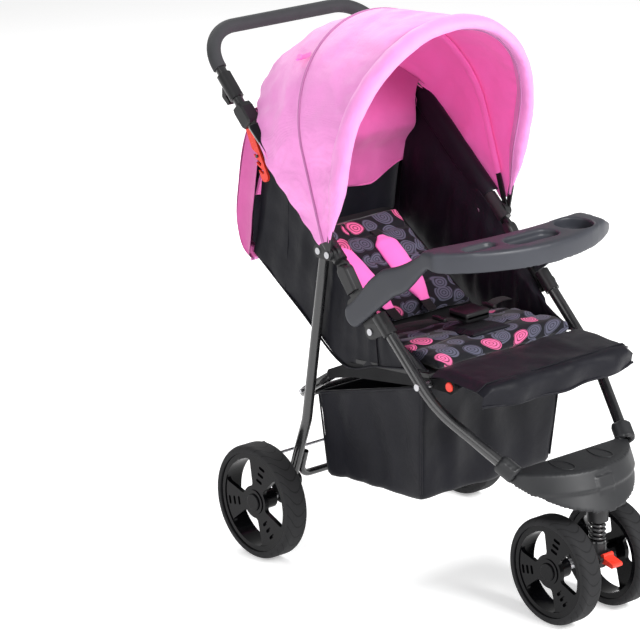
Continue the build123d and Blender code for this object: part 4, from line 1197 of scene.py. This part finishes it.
class STROLLER_OT_cushions(bpy.types.Operator):
    """Builds the stuffed seat, back, shoulder and crotch pads"""
    bl_idname = "stroller.cushions"
    bl_label = "Cushions"

    def execute(self, context):
        pink, black = finish_of("lining_cloth"), finish_of("tub_cloth")
        up_back, back_out = back_way()
        ahead = Vector((0.0, -cos(radians(SEAT_SLOPE)), sin(radians(SEAT_SLOPE))))
        seat_out = Vector((0.0, sin(radians(SEAT_SLOPE)), cos(radians(SEAT_SLOPE))))

        seat = channelled_pad("seat_cushion", "seat_pad", finish_of("seat_print"), ahead, seat_out,
                              (0.30, 0.66), 0.0030)
        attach(seat, "seat_frame")
        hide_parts("seat_pad")

        back = channelled_pad("back_cushion", "backrest_pad", finish_of("back_print"), up_back, back_out,
                              (0.26, 0.52, 0.78), 0.0028)
        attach(back, "backrest")
        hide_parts("backrest_pad")

        lift = shoulder_lift()
        for side, sign in SIDES:

            def line(share):
                return shoulder_line(sign, mix(*SHOULDER_RUN, share), lift + 0.002 * sin(pi * share))

            def radii(share):
                end = min(share, 1 - share)
                wide = 0.0285 * (0.30 + 0.70 * ease(share / 0.14)) * (0.42 + 0.58 * ease((1 - share) / 0.34))
                return wide, 0.0085 * (0.30 + 0.70 * ease(end / 0.12))

            pad = roll(f"shoulder_pad_{side}", line, Vector((1.0, 0.0, 0.0)), radii, pink, 48,
                       CREASES["shoulder"])
            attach(pad, "backrest")
            if side == "left":
                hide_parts("shoulder_pads")

        crotch = pad_from_node("crotch_cushion", "crotch_pad", black, 0.003, 0.0015, 0.004)
        crumple(crotch, 24.0, 0.0016)
        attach(crotch, "seat_frame")
        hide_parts("crotch_pad")
        return {"FINISHED"}


class STROLLER_OT_legrest(bpy.types.Operator):
    """Builds the padded legrest and the loose cover that hangs over its front"""
    bl_idname = "stroller.legrest"
    bl_label = "Legrest"

    def execute(self, context):
        sizes = context.scene.stroller_sizes
        black = finish_of("tub_cloth")
        pad = pad_from_node("legrest_cushion", "legrest_panel", black, 0.0045, 0.002, 0.003)
        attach(pad, "legrest")
        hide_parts("legrest_panel")

        def cover_point(across, share):
            ahead, up = along_line(LEGREST_LINE, share)
            hang = ease((share - 0.62) / 0.3)
            x = mix(COVER_HALF, -COVER_HALF, across)
            middle = cos(x / COVER_HALF * pi / 2)
            side = ease((abs(x) - 0.168) / 0.022)
            sag = 0.0035 * sin(pi * min(share / 0.6, 1.0)) * middle
            wave = 0.0045 * sin(x * 52.0 + 1.3) * hang
            dip = 0.010 * middle * hang
            return spot(x, ahead + wave - 0.004 * side, up - sag - dip - 0.013 * side * (1 - hang))

        rows = grid(37, 61, cover_point)
        cover, area = panel("legrest_cover", rows, sizes.cloth, [black], creases=CREASES["legrest"])
        hem = cord_mesh("legrest_hem", rows[-1], sizes.piping * 1.2, black)
        ridge = [p + Vector((0, 0, 0.001)) for p in rows[20]]
        welt = cord_mesh("legrest_welt", ridge, sizes.piping * 0.7, black)
        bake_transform(cover)
        for piece in (hem, welt):
            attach(piece, "legrest")
        return {"FINISHED"}


class STROLLER_OT_harness(bpy.types.Operator):
    """Builds the harness: shoulder belts, lap belts with their slides, and the buckle"""
    bl_idname = "stroller.harness"
    bl_label = "Harness"

    def execute(self, context):
        sizes = context.scene.stroller_sizes
        belt, hard = finish_of("webbing"), finish_of("joint_moulding")
        lift = shoulder_lift()
        for side, sign in SIDES:
            line = []
            for k in range(17):
                share = k / 16
                tuck = 0.012 * (1 - ease(share / 0.12))
                line.append(shoulder_line(sign, mix(*BELT_RUN, share), lift - tuck))
            across = [Vector((sizes.webbing, 0.0, 0.0))] * len(line)
            strap, area = ribbon(f"shoulder_belt_{side}", line, across, BELT_THICK, belt)
            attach(strap, "backrest")

        low, high = (Vector(corner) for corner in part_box("crotch_pad"))
        top = high.z + 0.004
        mid_y = (low.y + high.y) / 2
        for side, sign in SIDES:
            line = []
            for k in range(15):
                share = k / 14
                y = mix(mid_y + 0.024, mid_y + 0.080, ease(share))
                z = mix(top + 0.004, top - 0.006, ease(share)) + 0.006 * sin(pi * share)
                line.append(Vector((sign * mix(0.020, 0.158, share), y, z)))
            across = [Vector((0.0, sizes.webbing, 0.0))] * len(line)
            strap, area = ribbon(f"lap_belt_{side}", line, across, BELT_THICK, belt)
            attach(strap, "seat_frame")
            slide = block(f"belt_slide_{side}", (sign * 0.062, mid_y + 0.033, top + 0.0105),
                          (0.009, 0.034, 0.008))
            round_edges(slide, 0.0022)
            give(slide, hard)
            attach(slide, "seat_frame")

        buckle = block("harness_buckle", (0.0, mid_y + 0.020, top + 0.009), (0.058, 0.050, 0.015))
        for face in buckle.data.polygons:
            face.select = face.normal.z > 0.9
        bpy.ops.object.mode_set(mode="EDIT")
        bpy.ops.mesh.select_mode(type="FACE")
        bpy.ops.mesh.inset(thickness=0.012)
        bpy.ops.mesh.extrude_region_move(TRANSFORM_OT_translate={"value": (0.0, 0.0, 0.004)})
        bpy.ops.object.mode_set(mode="OBJECT")
        round_edges(buckle, 0.0035)
        give(buckle, hard)
        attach(buckle, "seat_frame")
        return {"FINISHED"}


class STROLLER_OT_basket(bpy.types.Operator):
    """Builds the cloth basket as one slack shell with a rolled hem and piped corners"""
    bl_idname = "stroller.basket"
    bl_label = "Basket"

    def execute(self, context):
        sizes = context.scene.stroller_sizes
        black = finish_of("tub_cloth")
        per_side = 26

        def ring(share, inset):
            half = mix(*BASKET_HALF, share) - inset
            rear = [mix(BASKET_TOP[0][k], BASKET_LOW[0][k], share) for k in range(2)]
            front = [mix(BASKET_TOP[1][k], BASKET_LOW[1][k], share) for k in range(2)]
            rear[0] += inset
            front[0] -= inset
            slack = sin(pi * min(share * 1.05, 1.0))
            points = []
            for side in range(4):
                for i in range(per_side):
                    t = i / per_side
                    bow = sin(pi * t)
                    pull = slack * bow * (0.006 + 0.0035 * sin(t * 19.0 + 1.7 * side + 2.5 * share))
                    if side == 0:
                        points.append(spot(half - pull, *[mix(rear[k], front[k], t) for k in range(2)]))
                    elif side == 1:
                        sag = 0.008 * bow * (1 - share) ** 3
                        points.append(spot(mix(half, -half, t), front[0] - pull * 1.5, front[1] - sag))
                    elif side == 2:
                        points.append(spot(-half + pull, *[mix(front[k], rear[k], t) for k in range(2)]))
                    else:
                        points.append(spot(mix(-half, half, t), rear[0] + pull, rear[1]))
            return points

        rows = [ring(r / 14, 0.0) for r in range(15)]
        corners = [[row[side * per_side] for row in rows[:-1]] for side in range(4)]
        for step in range(1, 9):
            drop = sizes.belly * ease(step / 5)
            floor = ring(1.0, 0.1300 * step / 8)
            rows.append([Vector((p.x, p.y, max(p.z - drop, BASKET_FLOOR))) for p in floor])
        basket, area = panel("basket_cloth", rows, sizes.cloth, [black], loop=True,
                             creases=CREASES["basket"])
        pieces = [basket, cord_mesh("basket_hem", ring(0.0, -0.0012), sizes.piping * 1.5, black, loop=True)]
        for number, line in enumerate(corners):
            pieces.append(cord_mesh(f"basket_corner_{number + 1}", line, sizes.piping * 0.9, black))
        for piece in pieces:
            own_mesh(piece)
            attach(piece, "seat_frame")
        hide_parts("basket")
        return {"FINISHED"}


def tray_place(place):
    """Where a point of the tray's solid goes on its moulded shell."""
    slope = radians(TRAY_SLOPE)
    along = Vector((0.0, -cos(slope), sin(slope)))
    over = Vector((0.0, sin(slope), cos(slope)))
    foot = spot(0.0, *TRAY_SEAT)

    # Round the far end
    ahead = AXLE_Y - place.y
    wide, fore = place.x - TRAY_END[0], ahead - TRAY_END[1]
    reach = sqrt(wide * wide + fore * fore)
    if wide > 0 and reach > TRAY_END[2]:
        pull = 0.85 * (1 - TRAY_END[2] / reach) * ease((ahead - 0.375) / 0.03)
        place.x -= wide * pull
        place.y += fore * pull

    # Deepen the arms below and lower their crest
    run = (place - foot).dot(along)
    rise = (place - foot).dot(over)
    arm = (1 - ease((run - 0.130) / 0.10)) * ease((abs(place.x) - 0.150) / 0.03)
    under = min(max((0.017 - rise) / 0.034, 0.0), 1.0)
    crest = 0.014 * (1 - ease((run + 0.010) / 0.090)) * (1 - under)
    place -= over * (arm * (0.024 * under + crest))

    # Thin the far end and drop the underside of the recesses
    if place.z > TRAY_CREST:
        place.z -= 0.010 * ease((place.x - 0.150) / 0.06) * ease((place.z - TRAY_CREST) / 0.02)
    if ahead > 0.400:
        place.z = mix(place.z, TRAY_END_TOP, 0.62 * ease((place.x - 0.168) / 0.048))
    deep = (1 - ease((place.z - TRAY_RIM) / 0.014)) * ease((ahead - 0.425) / 0.03)
    place.z -= 0.010 * deep
    return place


def tray_softness(place):
    """How much a point of the tray is softened: little at the recesses' edges and on the arms."""
    ahead = AXLE_Y - place.y
    near = min(max(abs(place.x - x) - reach, 0.0) ** 2 + (ahead - f) ** 2 - (wide + 0.010) ** 2
               for x, f, reach, wide in TRAY_WELLS)
    if near < 0 and place.z > 0.652:
        return 0.25
    return mix(1.0, 0.35, 1 - ease((ahead - 0.350) / 0.03))


class STROLLER_OT_tray(bpy.types.Operator):
    """Builds the play tray with its soft moulded edges"""
    bl_idname = "stroller.tray"
    bl_label = "Play tray"

    def execute(self, context):
        shell = even_copy("tray_shell", "tray", SHELL_GRID)
        for vert in shell.data.vertices:
            vert.co = tray_place(vert.co.copy())
        shell.data.update()
        soft = shell.vertex_groups.new(name="soft")
        for vert in shell.data.vertices:
            soft.add([vert.index], tray_softness(vert.co), "REPLACE")
        ease_shell(shell, 44, "soft")
        give(shell, finish_of("tray_moulding"))
        bpy.ops.object.shade_smooth()
        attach(shell, "tray")
        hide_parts("tray")
        return {"FINISHED"}


class STROLLER_OT_footrest(bpy.types.Operator):
    """Builds the footrest's soft shell with a line under its cap, and the raised sole outlines on top"""
    bl_idname = "stroller.footrest"
    bl_label = "Footrest"

    def execute(self, context):
        plastic = finish_of("footrest_moulding")
        deselect()
        bpy.ops.mesh.primitive_cube_add(size=1.0, location=spot(0.0, 0.6579, 0.264),
                                        rotation=(radians(-23.7), 0.0, 0.0), scale=(0.036, 0.005, 0.030))
        shell = even_copy("footrest_shell", "footrest", SHELL_GRID, context.object)

        def stand_off(vert):
            cap = ease((vert.co.z - CAP_LINE) / 0.002) if vert.normal.z < 0.6 else 0.2
            return mix(0.0008, 0.0044, cap)

        push(shell, stand_off)
        ease_shell(shell, 3)
        give(shell, plastic)
        bpy.ops.object.shade_smooth()
        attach(shell, "front_legs")
        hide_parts("footrest")
        for side, sign in SIDES:
            line = []
            for k in range(40):
                turn = 2 * pi * k / 40
                wide = 0.015 + 0.0035 * sin(turn)
                line.append(spot(sign * SOLE_SPOT[0] + wide * cos(turn), SOLE_SPOT[1] + 0.030 * sin(turn),
                                 SOLE_SPOT[2]))
            mark = cord_mesh(f"footrest_mark_{side}", line, 0.0014, plastic, loop=True)
            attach(mark, "front_legs")
        return {"FINISHED"}


class STROLLER_OT_stage(bpy.types.Operator):
    """Sets the pale floor, the soft lights and the camera"""
    bl_idname = "stroller.stage"
    bl_label = "Stage"

    def execute(self, context):
        scene = context.scene
        deselect()
        bpy.ops.mesh.primitive_plane_add(size=30.0, location=(0.0, 0.0, 0.0))
        floor = context.object
        floor.name = "studio_floor"
        paint, shader = start_finish("studio_white", (0.92, 0.92, 0.92), 0.9)
        shader.inputs["Emission Color"].default_value = (1.0, 1.0, 1.0, 1.0)
        shader.inputs["Emission Strength"].default_value = 0.38
        give(floor, paint)

        world = bpy.data.worlds.new("studio")
        world.use_nodes = True
        sky = world.node_tree.nodes["Background"]
        sky.inputs["Color"].default_value = (1.0, 1.0, 1.0, 1.0)
        sky.inputs["Strength"].default_value = 0.48
        scene.world = world
        for name, where, size, power in LIGHTS:
            light = bpy.data.lights.new(name, "AREA")
            light.energy = power
            light.size = size
            lamp = bpy.data.objects.new(name, light)
            lamp.location = where
            lamp.rotation_euler = (LIGHT_AIM - Vector(where)).to_track_quat("-Z", "Y").to_euler()
            context.collection.objects.link(lamp)

        turn, rise = radians(CAMERA_TURN), radians(CAMERA_RISE)
        toward = Vector((sin(turn) * cos(rise), -cos(turn) * cos(rise), sin(rise)))
        lens = bpy.data.cameras.new("photo_camera")
        lens.sensor_width = SENSOR_WIDE
        lens.lens = FOCAL_PIXELS * SENSOR_WIDE / IMAGE_WIDE
        lens.shift_x = (IMAGE_WIDE / 2 - IMAGE_MIDDLE) / IMAGE_WIDE
        lens.clip_end = 60.0
        camera = bpy.data.objects.new("photo_camera", lens)
        camera.location = spot(*CAMERA_SPOT) + toward * CAMERA_FAR
        camera.rotation_euler = (-toward).to_track_quat("-Z", "Y").to_euler()
        context.collection.objects.link(camera)
        scene.camera = camera
        scene.view_settings.view_transform = "Standard"
        return {"FINISHED"}


class STROLLER_PT_panel(bpy.types.Panel):
    """Lists the steps that dress the stroller"""
    bl_label = "Stroller"
    bl_idname = "STROLLER_PT_panel"
    bl_space_type = "VIEW_3D"
    bl_region_type = "UI"
    bl_category = "Stroller"

    def draw(self, context):
        column = self.layout.column()
        for step in STEPS:
            column.operator(step.bl_idname)
        for group in (context.scene.stroller_colours, context.scene.stroller_sizes):
            for key in group.__annotations__:
                column.prop(group, key)


STEPS = (STROLLER_OT_finishes, STROLLER_OT_tyres, STROLLER_OT_canopy, STROLLER_OT_brim, STROLLER_OT_flap,
         STROLLER_OT_tub, STROLLER_OT_back, STROLLER_OT_cushions, STROLLER_OT_legrest, STROLLER_OT_harness,
         STROLLER_OT_basket, STROLLER_OT_tray, STROLLER_OT_footrest, STROLLER_OT_stage)
CLASSES = (StrollerColours, StrollerSizes, *STEPS, STROLLER_PT_panel)


def register():
    for kind in CLASSES:
        bpy.utils.register_class(kind)
    bpy.types.Scene.stroller_colours = bpy.props.PointerProperty(type=StrollerColours)
    bpy.types.Scene.stroller_sizes = bpy.props.PointerProperty(type=StrollerSizes)


def unregister():
    del bpy.types.Scene.stroller_sizes
    del bpy.types.Scene.stroller_colours
    for kind in reversed(CLASSES):
        bpy.utils.unregister_class(kind)


def main():
    register()
    bpy.ops.stroller.finishes()
    bpy.ops.stroller.tyres()
    bpy.ops.stroller.canopy()
    bpy.ops.stroller.brim()
    bpy.ops.stroller.flap()
    bpy.ops.stroller.tub()
    bpy.ops.stroller.back()
    bpy.ops.stroller.cushions()
    bpy.ops.stroller.legrest()
    bpy.ops.stroller.harness()
    bpy.ops.stroller.basket()
    bpy.ops.stroller.tray()
    bpy.ops.stroller.footrest()
    bpy.ops.stroller.stage()


if __name__ == "__main__":
    main()
